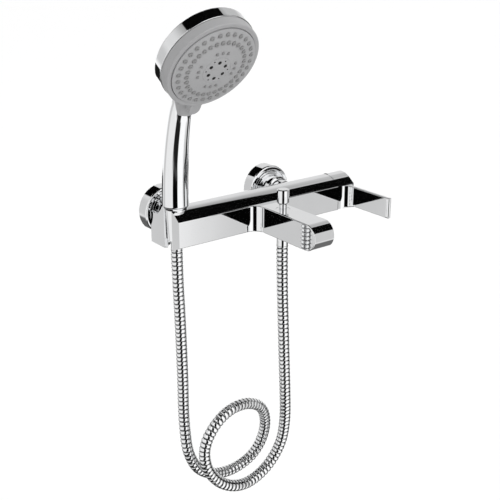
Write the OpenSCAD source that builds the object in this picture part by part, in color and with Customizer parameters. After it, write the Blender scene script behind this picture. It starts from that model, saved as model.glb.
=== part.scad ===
/* [Wall inlets] */
// Distance between the hot and cold inlet axes
inlet_spacing = 150; // [140:1:160]
// Outside diameter of the wall thread (G 1/2)
wall_thread_d = 20.95; // [20.5:0.05:21.5]
// Outside diameter of the union thread (G 3/4)
union_thread_d = 26.44; // [26:0.02:27]
// Length of the wall thread behind the wall plane
wall_thread_len = 20; // [12:1:30]
// Water bore of the wall union
union_bore_d = 13; // [10:0.5:15]
// Outside diameter of the rosette
rosette_d = 57.6; // [52:0.2:64]
// Depth of the rosette in front of the wall
rosette_depth = 16.2; // [14:0.1:18]
// Outside diameter of the union nut
union_nut_d = 36.6; // [34:0.2:37]

/* [Bar] */
// Distance from the left inlet's axis to the left end of the bar
left_over = 23.3; // [23.2:0.1:27]
// Distance from the right inlet's axis to the lever seam
right_over = 60; // [57:0.5:70]
// Radius of the round back of the bar
bar_r = 24.2; // [23.5:0.1:25]
// Distance from the wall to the bar's axis
bar_axis_out = 53; // [52:0.2:55]
// Drop of the bar's axis below the inlet axes
bar_axis_drop = 8.1; // [6:0.1:9]
// Distance from the wall to the flat front face
front_out = 75.8; // [75.5:0.1:79]
// Height of the front face's top edge above the inlet axes
front_top = 6; // [4:0.1:7]
// Drop of the front face's bottom edge below the inlet axes
front_drop = 25.1; // [24:0.1:28]
// Distance from the wall to the flat back of the bar
back_out = 34; // [33:0.1:36]
// Bevel along the edges of the front face and the spout
edge_bevel = 1.2; // [0.4:0.1:2]
// Thickness of the cheek that closes the left end
cheek_t = 4.4; // [3:0.1:4.6]
// Height of the cheek's shelf above the inlet axes
shelf_top = 4.4; // [2:0.1:6]
// Wall of the hollow casting
casting_wall = 4.5; // [3.5:0.1:5.5]

/* [Spout] */
// Distance from the middle of the inlets to the spout's centre line
spout_mid = 23.4; // [10:0.2:40]
// Width of the spout
spout_w = 29.3; // [28.6:0.1:34]
// Distance from the wall to the spout's tip
spout_reach = 177.5; // [170:0.5:200]
// Radius of the hollow corners beside the spout and the lever
corner_r = 12; // [8:0.5:14]
// Distance from the spout's tip back to the aerator's axis
aerator_in = 26.5; // [26:0.5:34]
// Outside diameter of the aerator housing
aerator_d = 24; // [20:0.5:25]

/* [Lever] */
// Gap between the bar and the lever cap
seam_gap = 0.7; // [0.5:0.1:1.2]
// Length of the lever cap along the bar
cap_len = 25.3; // [22:0.1:30]
// Thickness of the lever blade
blade_t = 4.3; // [3:0.1:6]
// Distance from the cap's left face to the blade's left face
blade_in = 14.8; // [13:0.1:18]
// Height of the lever blade
blade_h = 25.6; // [18:0.2:28]
// Distance from the wall to the tip of the blade
blade_reach = 147; // [130:1:170]
// Largest tilt of the lever, in degrees
tilt_max = 18; // [10:1:20]

/* [Cartridge] */
// Outside diameter of the cartridge
cartridge_d = 35; // [34:0.5:36]
// Length of the cartridge housing
cartridge_len = 23.5; // [23:0.5:26]
// Width of the square lever stem
stem_w = 7; // [6:0.2:8]

/* [Diverter] */
// Distance from the wall to the diverter and hose outlet axis
diverter_out = 105; // [102:0.5:112]
// Diameter of the knob's head
knob_d = 14.2; // [12:0.2:18]
// Diameter of the knob's neck
neck_d = 9; // [7:0.2:10]
// Height of the knob's head
knob_h = 16.4; // [10:0.2:18]
// Length of neck that shows below the knob's head
neck_show = 7.2; // [4:0.2:10]
// Lift of the diverter
diverter_lift = 7; // [4:0.5:7]

/* [Hose] */
// Outside diameter of the ribbed hose
hose_d = 14; // [12:0.5:15]
// Bore of the hose
hose_bore = 8.4; // [6:0.2:9]
// Depth of the grooves between the ribs
rib_depth = 0.9; // [0.4:0.1:1.2]
// Number of ribs along the hose
rib_count = 190; // [60:10:200]
// Diameter of the smooth ferrule at each end
ferrule_d = 13.4; // [12:0.1:14]

/* [Handset] */
// Distance of the handset's axis in from the left end of the bar
holder_in = 10.8; // [10:0.1:12]
// Width of the slot that lets the hose into the holder
slot_w = 16.4; // [15.5:0.1:18]
// Outside diameter of the hose thread (G 1/2)
hose_thread_d = 20.95; // [20.5:0.05:21.2]
// Large diameter of the conical nut
cone_top_d = 24.6; // [24:0.1:26]
// Small diameter of the conical nut
cone_low_d = 19.8; // [18:0.1:22]
// Diameter of the handle at its foot
grip_low_d = 30.2; // [26:0.2:32]
// Diameter of the neck where it enters the head
grip_top_d = 21; // [20:0.5:22]
// Radius of the handle's forward bend
grip_bend = 386; // [360:2:420]
// Radius of the neck's tighter bend
neck_bend = 80; // [78:1:86]
// Outside diameter of the chrome rim of the head
head_d = 106; // [104:0.2:112]
// Depth of the chrome rim
rim_depth = 12; // [11:0.1:14]
// Bulge of the head's back behind the rim
back_bulge = 9; // [7:0.5:12]
// Downward tilt of the spray face, in degrees
face_tilt = 33.3; // [30:0.1:36]
// Distance from the wall to the centre of the selector's front
face_out = 130.5; // [128:0.2:133]
// Height of the centre of the selector's front above the inlet axes
face_up = 180.5; // [178:0.2:183]
// Thickness of the grey selector ring
ring_t = 10.4; // [9:0.1:12]
// Width of the grey ring around the spray plate
ring_band = 5.3; // [4.5:0.1:7.5]
// Bulge of the spray plate
plate_bulge = 5.6; // [3:0.1:8]
// Nozzles in each full ring
ring_nozzles = 30; // [20:1:32]
// Length of the selector's thumb lug
lug_out = 14; // [8:0.5:15]
// Width of the selector's thumb lug
lug_w = 13; // [8:0.5:16]

/* [Fits] */
// Gap between fixed pieces that touch
touch = 0.1; // [0.05:0.01:0.2]
// Radial running fit
run_fit = 0.08; // [0.02:0.01:0.1]
// Gap between pieces that move past each other
clear = 0.4; // [0.3:0.05:0.6]

/* [Hidden] */
$fn = 72;

big = 400;
axis_y = -bar_axis_out;
axis_z = -bar_axis_drop;
front_y = -front_out;
back_y = -back_out;
bar_bottom = axis_z - bar_r;
bar_left = inlet_spacing / 2 + left_over;
bar_right = inlet_spacing / 2 + right_over;

// Inlet connections, measured along the wall normal
union_r = union_thread_d / 2;
union_front = -24.3;
washer_t = 2;
collar_front = union_front - washer_t - 2 * touch;
collar_back = collar_front - 3;
collar_r = union_r - 0.3;
tail_r = collar_r - 1.7;
boss_r = 15.5;
boss_face = back_y - 0.3;
dish_depth = rosette_depth - 2.8;

// Water ways inside the casting
port_r = 3.5;
port_out = 9.5;
port_up = 6;
mixed_r = 4.5;
mixed_out = 9;
partition_t = 4;

// Cartridge stations along the bar's axis
cart_r = cartridge_d / 2;
seat_x = bar_right - 37;
seal_t = 1.4;
cart_x = seat_x + seal_t + touch;
cart_end = cart_x + cartridge_len;
base_t = 3;
cart_bore = cart_r - 3;
disc_t = 3;
disc_r = 10.5;
fixed_x = cart_x + base_t + touch;
moving_x = fixed_x + disc_t + touch;
carrier_x = moving_x + disc_t + touch;
carrier_t = 5;
guide_x = carrier_x + carrier_t + clear;
guide_end = cart_end - touch;
pivot_x = guide_x + 4.7;
ball_x = carrier_x + carrier_t / 2;
ball_r = 2.2;
ball_neck_r = 1.5;
stem_x = guide_x + 1.2;
pin_r = 1.5;
nut_x = cart_end + clear;
nut_len = 6.7;

// Lever
cap_x = bar_right + seam_gap;
cap_end = cap_x + cap_len;
blade_x = cap_x + blade_in;
hub_r = 8.5;
cap_bore = bar_r - 5.2;
cap_wall = 9;
stem_end = cap_x + 11.3;
screw_x = cap_x + 7.3;
screw_r = 2.5;
relief_y = axis_y - (cap_x - pivot_x) * tan(tilt_max / 2) - 1;

// Spout
spout_left = spout_mid - spout_w / 2;
nose_r = (front_top + front_drop) / 2;
nose_y = -spout_reach + nose_r;
nose_z = front_top - nose_r;
duct_top = front_top - 3.5;
duct_floor = duct_top - diverter_lift - 5;
duct_w = 19;
recess_top = duct_floor - 2.5;
diverter_y = -diverter_out;
aerator_y = -spout_reach + aerator_in;
aerator_r = aerator_d / 2;

// Diverter and hose outlet, along the vertical axis
nipple_r = hose_thread_d / 2;
nipple_end = recess_top - 8.3;
seat_up = 0.5;
gasket_t = 1.3;
flange_t = 1.3;
outlet_gasket_z = nipple_end - touch - gasket_t;
outlet_flange_z = outlet_gasket_z - touch - flange_t;
hose_nut_r = 12.6;
hose_nut_z = outlet_flange_z - touch - 1.7;
recess_r = hose_nut_r + 0.6;
hose_r = hose_d / 2;
ferrule_r = ferrule_d / 2;
flange_r = nipple_r - 0.3;
outlet_hose_z = -38;
rod_r = 2.5;
valve_r = 7.4;
seal_z = duct_floor + seat_up + clear;
seal_h = 1.5;
valve_z = seal_z + seal_h + touch;
bush_r = 8;

// Handset and holder
hand_x = -bar_left + holder_in;
hand_y = axis_y;
holder_r = cone_top_d / 2 + clear;
ring_top = 18;
ring_low = 14.8;
cone_bottom = -22;
grip_z = ring_top + clear;
grip_r = grip_low_d / 2;
neck_r = grip_top_d / 2;
hand_bore_r = 8;
water_r = 5.5;
spigot_len = 13;
hand_gasket_z = grip_z - spigot_len - clear - gasket_t;
hand_flange_z = hand_gasket_z - touch - flange_t;
hand_hose_z = -34;
knee_z = 118;
grip_turn = asin((knee_z - grip_z) / grip_bend);
neck_turn = 62;
grip_rings = 16;
neck_rings = 18;
grip_sides = 40;
insert_rings = 5;
insert_front = 5.5;
insert_t = 1;
insert_below = 10;
head_r = head_d / 2;
rim_wall = 2.4;
rim_front = -ring_t - clear;
rim_back = rim_front - rim_depth;
chamber_back = rim_back + 3.2;
ring_r = head_r - 0.7;
plate_r = ring_r - ring_band - clear;
plate_rise = 1.1;
plate_back = -5;
plate_sphere = (plate_r * plate_r + plate_bulge * plate_bulge) / (2 * plate_bulge);
mat_t = 3;
rotor_t = 2.8;
rotor_front = -ring_t - touch;
rotor_back = rotor_front - rotor_t;
post_r = 6;
rotor_port_ring = 0.558 * plate_r;
nozzle_r = 2.3;
small_nozzle_r = 1.5;
nozzle_rise = 1.4;
outer_ring = 0.88 * plate_r;
inner_ring = 0.6975 * plate_r;
group_ring = 0.455 * plate_r;
core_r = 0.335 * plate_r;
core_floor = -1.5;
jet_r = 2;
jet_ring = core_r - 5.9;
dot_r = 0.8;
dot_ring = core_r - 2.9;
face_screw_r = 2;
lug_t = 7;
lug_front = -2.5;

// Route of the hose, from the handset down, round its loop and up to the outlet
hose_route = [
    [hand_x, hand_y, hand_hose_z], [hand_x, hand_y, hand_hose_z - hose_d], [-87, -53, -80],
    [-86, -53, -110], [-85, -53, -155], [-85, -54, -200], [-87, -57, -238], [-90, -64, -265],
    [-90, -70, -289], [-81, -74, -312], [-63, -74, -328], [-42, -73, -336], [-19, -74, -335],
    [1, -77, -324], [14, -80, -304], [17, -83, -278], [7, -87, -254], [-15, -91, -239],
    [-40, -94, -235], [-60, -95, -242], [-75, -95, -257], [-83, -95, -276], [-83, -97, -296],
    [-76, -99, -313], [-64, -102, -327], [-46, -104, -337], [-25, -103, -341], [-3, -103, -334],
    [15, -104, -318], [25, -107, -294], [27, -110, -264], [25, -112, -229], [24, -111, -190],
    [23.5, -109, -144], [23.5, -106, -94],
    [spout_mid, diverter_y, outlet_hose_z - hose_d], [spout_mid, diverter_y, outlet_hose_z]];

// Tangent point on a circle, seen from a point outside it
function tangent_point(from, centre, r, side) =
    let (d = from - centre, a = atan2(d[1], d[0]) + side * acos(r / norm(d)))
    centre + r * [cos(a), sin(a)];

function unit(v) = v / norm(v);

// Smooth curve through the route's points
function route_at(p, i) = p[max(0, min(len(p) - 1, i))];
function smooth_point(a, b, c, d, t) =
    0.5 * (2 * b + (c - a) * t + (2 * a - 5 * b + 4 * c - d) * t * t + (3 * b - a - 3 * c + d) * t * t * t);
function smooth_route(p, steps) = concat(
    [for (i = [0 : len(p) - 2], k = [0 : steps - 1])
        smooth_point(route_at(p, i - 1), p[i], p[i + 1], route_at(p, i + 2), k / steps)],
    [p[len(p) - 1]]);

// Distance along a curve up to each of its points
function run_lengths(p) =
    [for (i = 0, s = 0; i < len(p); i = i + 1, s = s + (i < len(p) ? norm(p[i] - p[i - 1]) : 0)) s];
function along(s, runs, p) =
    [for (axis = [0 : 2]) lookup(s, [for (i = [0 : len(p) - 1]) [runs[i], p[i][axis]]])];

// Evenly spaced points on the hose's centre line, two for each rib
hose_line = smooth_route(hose_route, 8);
hose_runs = run_lengths(hose_line);
hose_len = hose_runs[len(hose_runs) - 1];
hose_stations = [for (i = [0 : 2 * rib_count]) along(hose_len * i / (2 * rib_count), hose_runs, hose_line)];
bore_step = 6;
hose_gap = min([for (i = [0 : 4 : 2 * rib_count], j = [i + 30 : 4 : 2 * rib_count])
    if (j <= 2 * rib_count) norm(hose_stations[i] - hose_stations[j])]) - hose_d;
echo(hose_length = hose_len, hose_least_gap = hose_gap);

// Ring of points square to a path; the paths here never run along the wall normal
function path_dir(p, i) = unit(p[min(len(p) - 1, i + 1)] - p[max(0, i - 1)]);
function path_ring(p, i, r, sides) =
    let (d = path_dir(p, i), a = unit(cross([0, 1, 0], d)), b = cross(d, a))
    [for (k = [0 : sides - 1]) p[i] + r * (cos(360 * k / sides) * a + sin(360 * k / sides) * b)];

// Triangles that join neighbouring rings of one skin
function skin_faces(rings, sides, first, outward) =
    [for (i = [0 : rings - 2], k = [0 : sides - 1], half = [0, 1])
        let (a = first + i * sides + k, b = first + i * sides + (k + 1) % sides)
        half == 0 ? (outward ? [a, a + sides, b] : [a, b, a + sides])
            : (outward ? [b, a + sides, b + sides] : [b, b + sides, a + sides])];

// Triangles of the flat ring between the outer and the inner edge of one end
function end_faces(outer, inner, sides, outward) =
    [for (k = [0 : sides - 1], half = [0, 1])
        let (n = (k + 1) % sides)
        half == 0 ? (outward ? [outer + k, inner + k, outer + n] : [outer + k, outer + n, inner + k])
            : (outward ? [outer + n, inner + k, inner + n] : [outer + n, inner + n, inner + k])];

// Fan of triangles that closes the end of a solid sweep
function cap_faces(first, sides, outward) =
    [for (k = [1 : sides - 2])
        outward ? [first, first + k, first + k + 1] : [first, first + k + 1, first + k]];

// Centre line of the handle: a long gentle bend, then a tighter one into the head
grip_len = grip_bend * grip_turn * PI / 180;
neck_len = neck_bend * (neck_turn - grip_turn) * PI / 180;
function bend_point(from, r, a0, a1) = from + r * [0, cos(a1) - cos(a0), sin(a1) - sin(a0)];
grip_foot = [hand_x, hand_y, grip_z];
grip_knee = bend_point(grip_foot, grip_bend, 0, grip_turn);
grip_path = concat(
    [for (i = [0 : grip_rings]) bend_point(grip_foot, grip_bend, 0, grip_turn * i / grip_rings)],
    [for (i = [1 : neck_rings])
        bend_point(grip_knee, neck_bend, grip_turn, grip_turn + (neck_turn - grip_turn) * i / neck_rings)]);
grip_last = grip_rings + neck_rings;
function grip_share(i) =
    (i <= grip_rings ? grip_len * i / grip_rings : grip_len + neck_len * (i - grip_rings) / neck_rings)
    / (grip_len + neck_len);
function grip_radius(i) = grip_r - (grip_r - neck_r) * pow(grip_share(i), 1.7);

// Rings of the handle that carry the grey saddle, just below the head's rim
face_mid = [hand_x, -face_out, face_up];
insert_last = max([for (i = [grip_rings : grip_last])
    if (norm(grip_path[i] - face_mid) > head_r + insert_below) i]);
insert_first = insert_last - insert_rings;

module rod_x(x0, x1, y, z, r) {
    translate([x0, y, z]) rotate([0, 90, 0]) cylinder(h = x1 - x0, r = r);
}

module rod_y(x, y0, y1, z, r) {
    translate([x, y0, z]) rotate([-90, 0, 0]) cylinder(h = y1 - y0, r = r);
}

module rod_z(x, y, z0, z1, r) {
    translate([x, y, z0]) cylinder(h = z1 - z0, r = r);
}

// Straight rod between two points in the handset's plane
module slant_rod(a, b, r) {
    d = b - a;
    translate([hand_x, a[0], a[1]]) rotate([-atan2(d[0], d[1]), 0, 0]) cylinder(h = norm(d), r = r);
}

// Outline in depth and height, drawn out along the bar
module along_bar(x0, x1) {
    translate([x0, 0, 0]) rotate([90, 0, 90]) linear_extrude(height = x1 - x0) children();
}

// Outline in plan, drawn out in height
module upright(z0, z1) {
    translate([0, 0, z0]) linear_extrude(height = z1 - z0) children();
}

// Local frame of the spray face: +Z leaves the face
module at_face() {
    translate([hand_x, -face_out, face_up]) rotate([90 + face_tilt, 0, 0]) children();
}

// Round back with a flat front joined by tangents
module round_section() {
    centre = [axis_y, axis_z];
    top = [front_y + edge_bevel, front_top];
    low = [front_y + edge_bevel, -front_drop];
    intersection() {
        union() {
            translate(centre) circle(r = bar_r);
            polygon([centre, tangent_point(top, centre, bar_r, -1), top, [front_y, front_top - edge_bevel],
                [front_y, edge_bevel - front_drop], low, tangent_point(low, centre, bar_r, 1)]);
        }
        translate([front_y, -big / 2]) square([big, big]);
    }
}

module bar_section() {
    difference() {
        round_section();
        translate([back_y, -big / 2]) square([big, big]);
    }
}

// Left end: the bar's outline carried back to the rosette as a shelf
module cheek_section() {
    shelf_back = -rosette_depth - 0.3;
    shelf_join = axis_y + sqrt(bar_r * bar_r - pow(shelf_top - axis_z, 2));
    round_section();
    translate([axis_y, bar_bottom]) square([shelf_back - axis_y, shelf_top - bar_bottom]);
    polygon([[shelf_join - 3, shelf_top], [shelf_join - 2.4, shelf_top + 3.2],
        [shelf_join + 0.2, shelf_top + 1.1], [shelf_join + 4, shelf_top]]);
}

// Hollow corner beside the spout, opened out along its bevelled edges
module spout_corner(x, side) {
    past = edge_bevel + 1;
    mid_x = x + side * corner_r;
    mid_y = front_y - corner_r;
    difference() {
        translate([min(mid_x, x - side * past), mid_y, -front_drop])
            cube([corner_r + past, corner_r + past, 2 * nose_r]);
        translate([mid_x, mid_y, 0]) rotate_extrude() polygon([[0, -front_drop - 1],
            [corner_r + past, -front_drop - 1], [corner_r, edge_bevel - front_drop],
            [corner_r, front_top - edge_bevel], [corner_r + past, front_top + 1], [0, front_top + 1]]);
    }
}

// Flat spout with a round nose
module spout_solid() {
    root_y = front_y + edge_bevel + 1;
    w = spout_w;
    b = edge_bevel;
    translate([spout_left, root_y, nose_z]) rotate([90, 0, 0]) linear_extrude(height = root_y - nose_y)
        polygon([[b, -nose_r], [w - b, -nose_r], [w, b - nose_r], [w, nose_r - b], [w - b, nose_r],
            [b, nose_r], [0, nose_r - b], [0, b - nose_r]]);
    translate([spout_left, nose_y, nose_z]) rotate([0, 90, 0]) rotate_extrude()
        polygon([[0, 0], [nose_r - b, 0], [nose_r, b], [nose_r, w - b], [nose_r - b, w], [0, w]]);
    spout_corner(spout_left, -1);
    spout_corner(spout_left + spout_w, 1);
}

module inlet_tail(x) {
    rod_y(x, axis_y + 8, boss_face, 0, boss_r);
    rod_y(x, boss_face - 1, collar_back + 1, 0, tail_r);
    rod_y(x, collar_back, collar_front, 0, collar_r);
}

module inlet_bore(x) {
    rod_y(x, axis_y + 13, 0, 0, 6);
}

// Cut in the left end that takes the conical nut and lets the hose in
module holder_cut() {
    low_r = cone_low_d / 2 + clear;
    rod_z(hand_x, hand_y, -big / 2, cone_bottom, low_r);
    translate([hand_x, hand_y, cone_bottom]) cylinder(h = ring_low - cone_bottom, r1 = low_r, r2 = holder_r);
    translate([hand_x, hand_y, ring_low])
        cylinder(h = ring_top - ring_low, r1 = holder_r, r2 = grip_r + clear);
    translate([hand_x - big, hand_y - slot_w / 2, -big / 2]) cube([big, slot_w, big]);
}

// Hollow of the casting between two depths, inside its wall
module chamber(x0, x1, y0, y1) {
    along_bar(x0, x1) intersection() {
        translate([axis_y, axis_z]) circle(r = bar_r - casting_wall);
        translate([y0, axis_z - bar_r]) square([y1 - y0, 2 * bar_r]);
    }
}

// Hot water runs behind the partition, mixed water in front of it
module water_ways() {
    hot_x = -inlet_spacing / 2;
    cold_x = inlet_spacing / 2;
    port_y = axis_y + port_out;
    chamber_x = hand_x + holder_r + casting_wall;
    chamber(chamber_x, cold_x - boss_r - casting_wall, axis_y + partition_t / 2, back_y - casting_wall);
    chamber(chamber_x, seat_x - casting_wall, front_y + casting_wall, axis_y - partition_t / 2);
    rod_z(hot_x, port_y + 2.5, axis_z - port_up, 0, port_r);
    rod_x(hot_x, seat_x + 1, port_y, axis_z - port_up, port_r);
    rod_x(cold_x, seat_x + 1, port_y, axis_z + port_up, port_r);
    rod_x(spout_mid, seat_x + 1, axis_y - mixed_out, axis_z, mixed_r);
}

module spout_cuts() {
    duct_end = aerator_y - aerator_r + 3;
    translate([spout_mid - duct_w / 2, duct_end, duct_floor])
        cube([duct_w, axis_y - mixed_out - duct_end, duct_top - duct_floor]);
    rod_z(spout_mid, diverter_y, duct_top - 1, front_top + 1, bush_r + touch / 2);
    rod_z(spout_mid, diverter_y, recess_top - 1, duct_floor + 1, valve_r + 0.6);
    rod_z(spout_mid, diverter_y, -big / 2, recess_top, recess_r);
    rod_z(spout_mid, aerator_y, -big / 2, duct_floor + 1, aerator_r + touch / 2);
}

module mixer_body() color("gainsboro") difference() {
    union() {
        along_bar(-bar_left, bar_right) bar_section();
        along_bar(-bar_left, -bar_left + cheek_t) cheek_section();
        spout_solid();
        inlet_tail(-inlet_spacing / 2);
        inlet_tail(inlet_spacing / 2);
    }
    holder_cut();
    inlet_bore(-inlet_spacing / 2);
    inlet_bore(inlet_spacing / 2);
    water_ways();
    spout_cuts();
    rod_x(seat_x, bar_right + 1, axis_y, axis_z, cart_r + 0.3);
}

// Revolved about an axis along the wall normal; the outline gives radius and distance from the wall
module about_inlet(x) {
    translate([x, 0, 0]) rotate([90, 0, 0]) rotate_extrude() children();
}

module rosette(x) color("gainsboro") about_inlet(x) {
    rim_r = rosette_d / 2;
    bore_r = union_r + 0.2;
    nut_room = union_nut_d / 2 + 2.4;
    polygon([[rim_r, 0.2], [rim_r, rosette_depth - 2.6], [rim_r - 0.9, rosette_depth - 0.8],
        [rim_r - 2.4, rosette_depth], [rim_r - 4.4, rosette_depth], [nut_room + 0.6, dish_depth + 0.7],
        [nut_room, dish_depth], [bore_r, dish_depth], [bore_r, dish_depth - 3],
        [rim_r - 7, dish_depth - 3], [rim_r - 2.4, dish_depth - 6], [rim_r - 2.4, 0.2]]);
}

module left_rosette() { rosette(-inlet_spacing / 2); }
module right_rosette() { rosette(inlet_spacing / 2); }

module wall_union(x) color("darkgoldenrod") difference() {
    union() {
        rod_y(x, union_front, 0, 0, union_r);
        rod_y(x, -0.5, wall_thread_len, 0, wall_thread_d / 2);
    }
    rod_y(x, union_front - 1, wall_thread_len + 1, 0, union_bore_d / 2);
}

module left_wall_union() { wall_union(-inlet_spacing / 2); }
module right_wall_union() { wall_union(inlet_spacing / 2); }

module union_nut(x) color("gainsboro") about_inlet(x) {
    rim_r = union_nut_d / 2;
    thread_r = union_r + touch;
    lip = -collar_back + touch;
    front = -boss_face - clear;
    near = dish_depth + clear;
    polygon([[thread_r, near], [rim_r - 0.8, near], [rim_r, near + 0.8], [rim_r, front - 2.2],
        [rim_r - 2.6, front], [tail_r + 0.2, front], [tail_r + 0.2, lip], [thread_r, lip]]);
}

module left_union_nut() { union_nut(-inlet_spacing / 2); }
module right_union_nut() { union_nut(inlet_spacing / 2); }

module inlet_washer(x) color("dimgray") difference() {
    rod_y(x, collar_front + touch, union_front - touch, 0, collar_r - 0.3);
    rod_y(x, collar_front - 1, union_front + 1, 0, union_bore_d / 2);
}

module left_inlet_washer() { inlet_washer(-inlet_spacing / 2); }
module right_inlet_washer() { inlet_washer(inlet_spacing / 2); }

// The three water ports in the cartridge's base
module ports(x0, x1, r) {
    rod_x(x0, x1, axis_y + port_out, axis_z - port_up, r);
    rod_x(x0, x1, axis_y + port_out, axis_z + port_up, r);
    rod_x(x0, x1, axis_y - mixed_out, axis_z, r);
}

module cartridge_housing() color("whitesmoke") difference() {
    rod_x(cart_x, cart_end, axis_y, axis_z, cart_r);
    rod_x(cart_x + base_t, cart_end + 1, axis_y, axis_z, cart_bore);
    ports(cart_x - 1, cart_x + base_t + 1, port_r);
}

module cartridge_seals() color("dimgray") difference() {
    ports(seat_x + touch / 2, cart_x - touch / 2, mixed_r + 1.2);
    ports(seat_x - 1, cart_x + 1, mixed_r);
}

module fixed_disc() color("white") difference() {
    rod_x(fixed_x, fixed_x + disc_t, axis_y, axis_z, cart_bore - touch);
    ports(fixed_x - 1, fixed_x + disc_t + 1, port_r - 0.2);
}

module moving_disc() color("white") difference() {
    rod_x(moving_x, moving_x + disc_t, axis_y, axis_z, disc_r);
    translate([moving_x - 1, axis_y - 3, axis_z - 5]) cube([disc_t, 10, 10]);
}

module disc_carrier() color("whitesmoke") difference() {
    rod_x(carrier_x, carrier_x + carrier_t, axis_y, axis_z, disc_r);
    rod_x(carrier_x - 1, carrier_x + carrier_t + 1, axis_y, axis_z, ball_r + clear);
}

module stem_guide() color("whitesmoke") difference() {
    rod_x(guide_x, guide_end, axis_y, axis_z, cart_bore - run_fit);
    translate([guide_x - 1, axis_y - stem_w / 2 - 3, axis_z - stem_w / 2 - clear])
        cube([guide_end - guide_x + 2, stem_w + 6, stem_w + 2 * clear]);
    rod_z(pivot_x, axis_y, axis_z - big / 2, axis_z + big / 2, pin_r + touch / 2);
}

module pivot_pin() color("silver")
    rod_z(pivot_x, axis_y, axis_z - cart_bore + 2, axis_z + cart_bore - 2, pin_r);

module retaining_nut() color("goldenrod") difference() {
    rod_x(nut_x, nut_x + nut_len, axis_y, axis_z, cart_r + 0.3 - touch / 2);
    rod_x(nut_x - 1, nut_x + nut_len + 1, axis_y, axis_z, 11);
}

// Chrome ring that closes the bar's end round the stem
module cartridge_cover() color("gainsboro") difference() {
    rod_x(nut_x + nut_len + touch, bar_right - 0.7, axis_y, axis_z, cart_r + 0.3 - touch / 2);
    rod_x(nut_x, bar_right, axis_y, axis_z, 10);
}

module lever_stem() color("silver") difference() {
    union() {
        translate([stem_x, axis_y - stem_w / 2, axis_z - stem_w / 2])
            cube([stem_end - stem_x, stem_w, stem_w]);
        rod_x(ball_x, stem_x + 1, axis_y, axis_z, ball_neck_r);
        translate([ball_x, axis_y, axis_z]) rotate([0, 90, 0]) rotate_extrude()
            polygon([for (a = [-90 : 15 : 90]) ball_r * [cos(a), sin(a)]]);
    }
    rod_z(pivot_x, axis_y, axis_z - big / 2, axis_z + big / 2, pin_r + run_fit);
}

// Plan of one hollow corner beside the blade
module blade_corner(x, r, mid) {
    difference() {
        translate([x, front_y - r]) square(r);
        translate([x + mid, front_y - r]) circle(r = r);
    }
}

// Plan of the blade with its hollow corners, and its outline seen from the side
module blade_solid() {
    blade_end = blade_x + blade_t;
    foot_r = cap_end - blade_end;
    intersection() {
        upright(-front_drop, front_top) {
            translate([blade_x, -blade_reach]) square([blade_t, blade_reach + front_y + 1]);
            blade_corner(blade_x - corner_r, corner_r, 0);
            blade_corner(blade_end, foot_r, foot_r);
        }
        along_bar(cap_x, cap_end) polygon([[front_y + 1, front_top - edge_bevel],
            [front_y, front_top - edge_bevel], [front_y - corner_r, axis_z + blade_h / 2],
            [-blade_reach + 0.8, axis_z + blade_h / 2], [-blade_reach, axis_z + blade_h / 2 - 0.8],
            [-blade_reach, axis_z - blade_h / 2 + 0.8], [-blade_reach + 0.8, axis_z - blade_h / 2],
            [front_y - corner_r, axis_z - blade_h / 2],
            [front_y, edge_bevel - front_drop], [front_y + 1, edge_bevel - front_drop]]);
    }
}

module lever() color("gainsboro") difference() {
    union() {
        difference() {
            along_bar(cap_x, cap_end) bar_section();
            rod_x(cap_x - 1, cap_end - cap_wall, axis_y, axis_z, cap_bore);
        }
        rod_x(cap_x + 1, cap_end - 1, axis_y, axis_z, hub_r);
        blade_solid();
    }
    translate([cap_x - 1, axis_y - stem_w / 2 - touch, axis_z - stem_w / 2 - touch])
        cube([stem_end - cap_x + 1 + touch, stem_w + 2 * touch, stem_w + 2 * touch]);
    rod_z(screw_x, axis_y, bar_bottom - 1, axis_z, screw_r + touch / 2);
    upright(-big / 2, big / 2) polygon([[cap_x - 1, relief_y], [cap_x, relief_y],
        [cap_x + 2 * bar_r * tan(tilt_max + 2), relief_y + 2 * bar_r], [cap_x - 1, relief_y + 2 * bar_r]]);
}

module grub_screw() color("dimgray") difference() {
    rod_z(screw_x, axis_y, axis_z - hub_r + 0.3, axis_z - stem_w / 2 - touch, screw_r);
    translate([screw_x, axis_y, axis_z - hub_r - 1]) cylinder(h = 3.2, r = 1.4, $fn = 6);
}

module screw_plug() color("gainsboro")
    rod_z(screw_x, axis_y, bar_bottom + 0.6, axis_z - cap_bore - 0.4, screw_r);

module diverter_bush() color("gainsboro") difference() {
    rod_z(spout_mid, diverter_y, duct_top + touch, front_top - 0.2, bush_r);
    rod_z(spout_mid, diverter_y, duct_top - 1, front_top + 1, neck_d / 2 + run_fit);
}

module diverter_knob() color("gainsboro") {
    head_z = front_top + neck_show;
    foot_z = duct_top - 4;
    edge = 1.2;
    translate([spout_mid, diverter_y, 0]) rotate_extrude()
        polygon([[rod_r + touch / 2, foot_z], [neck_d / 2, foot_z], [neck_d / 2, head_z - edge],
            [knob_d / 2 - edge / 2, head_z], [knob_d / 2, head_z + edge],
            [knob_d / 2, head_z + knob_h - edge], [knob_d / 2 - edge, head_z + knob_h - edge / 4],
            [0, head_z + knob_h], [0, head_z], [rod_r + touch / 2, head_z]]);
}

module diverter_valve() color("goldenrod") {
    rod_z(spout_mid, diverter_y, seal_z + 0.2, front_top + 4, rod_r);
    rod_z(spout_mid, diverter_y, valve_z, valve_z + 2, valve_r);
}

module diverter_seal() color("dimgray") difference() {
    rod_z(spout_mid, diverter_y, seal_z, seal_z + seal_h, valve_r - 0.1);
    rod_z(spout_mid, diverter_y, seal_z - 1, seal_z + seal_h + 1, rod_r + touch / 2);
}

module aerator_housing() color("gainsboro") difference() {
    rod_z(spout_mid, aerator_y, -front_drop - 0.8, duct_floor - 0.2, aerator_r);
    rod_z(spout_mid, aerator_y, -front_drop + 1, duct_floor + 1, aerator_r - 2);
    rod_z(spout_mid, aerator_y, -front_drop - 2, duct_floor, aerator_r - 3.2);
}

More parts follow.
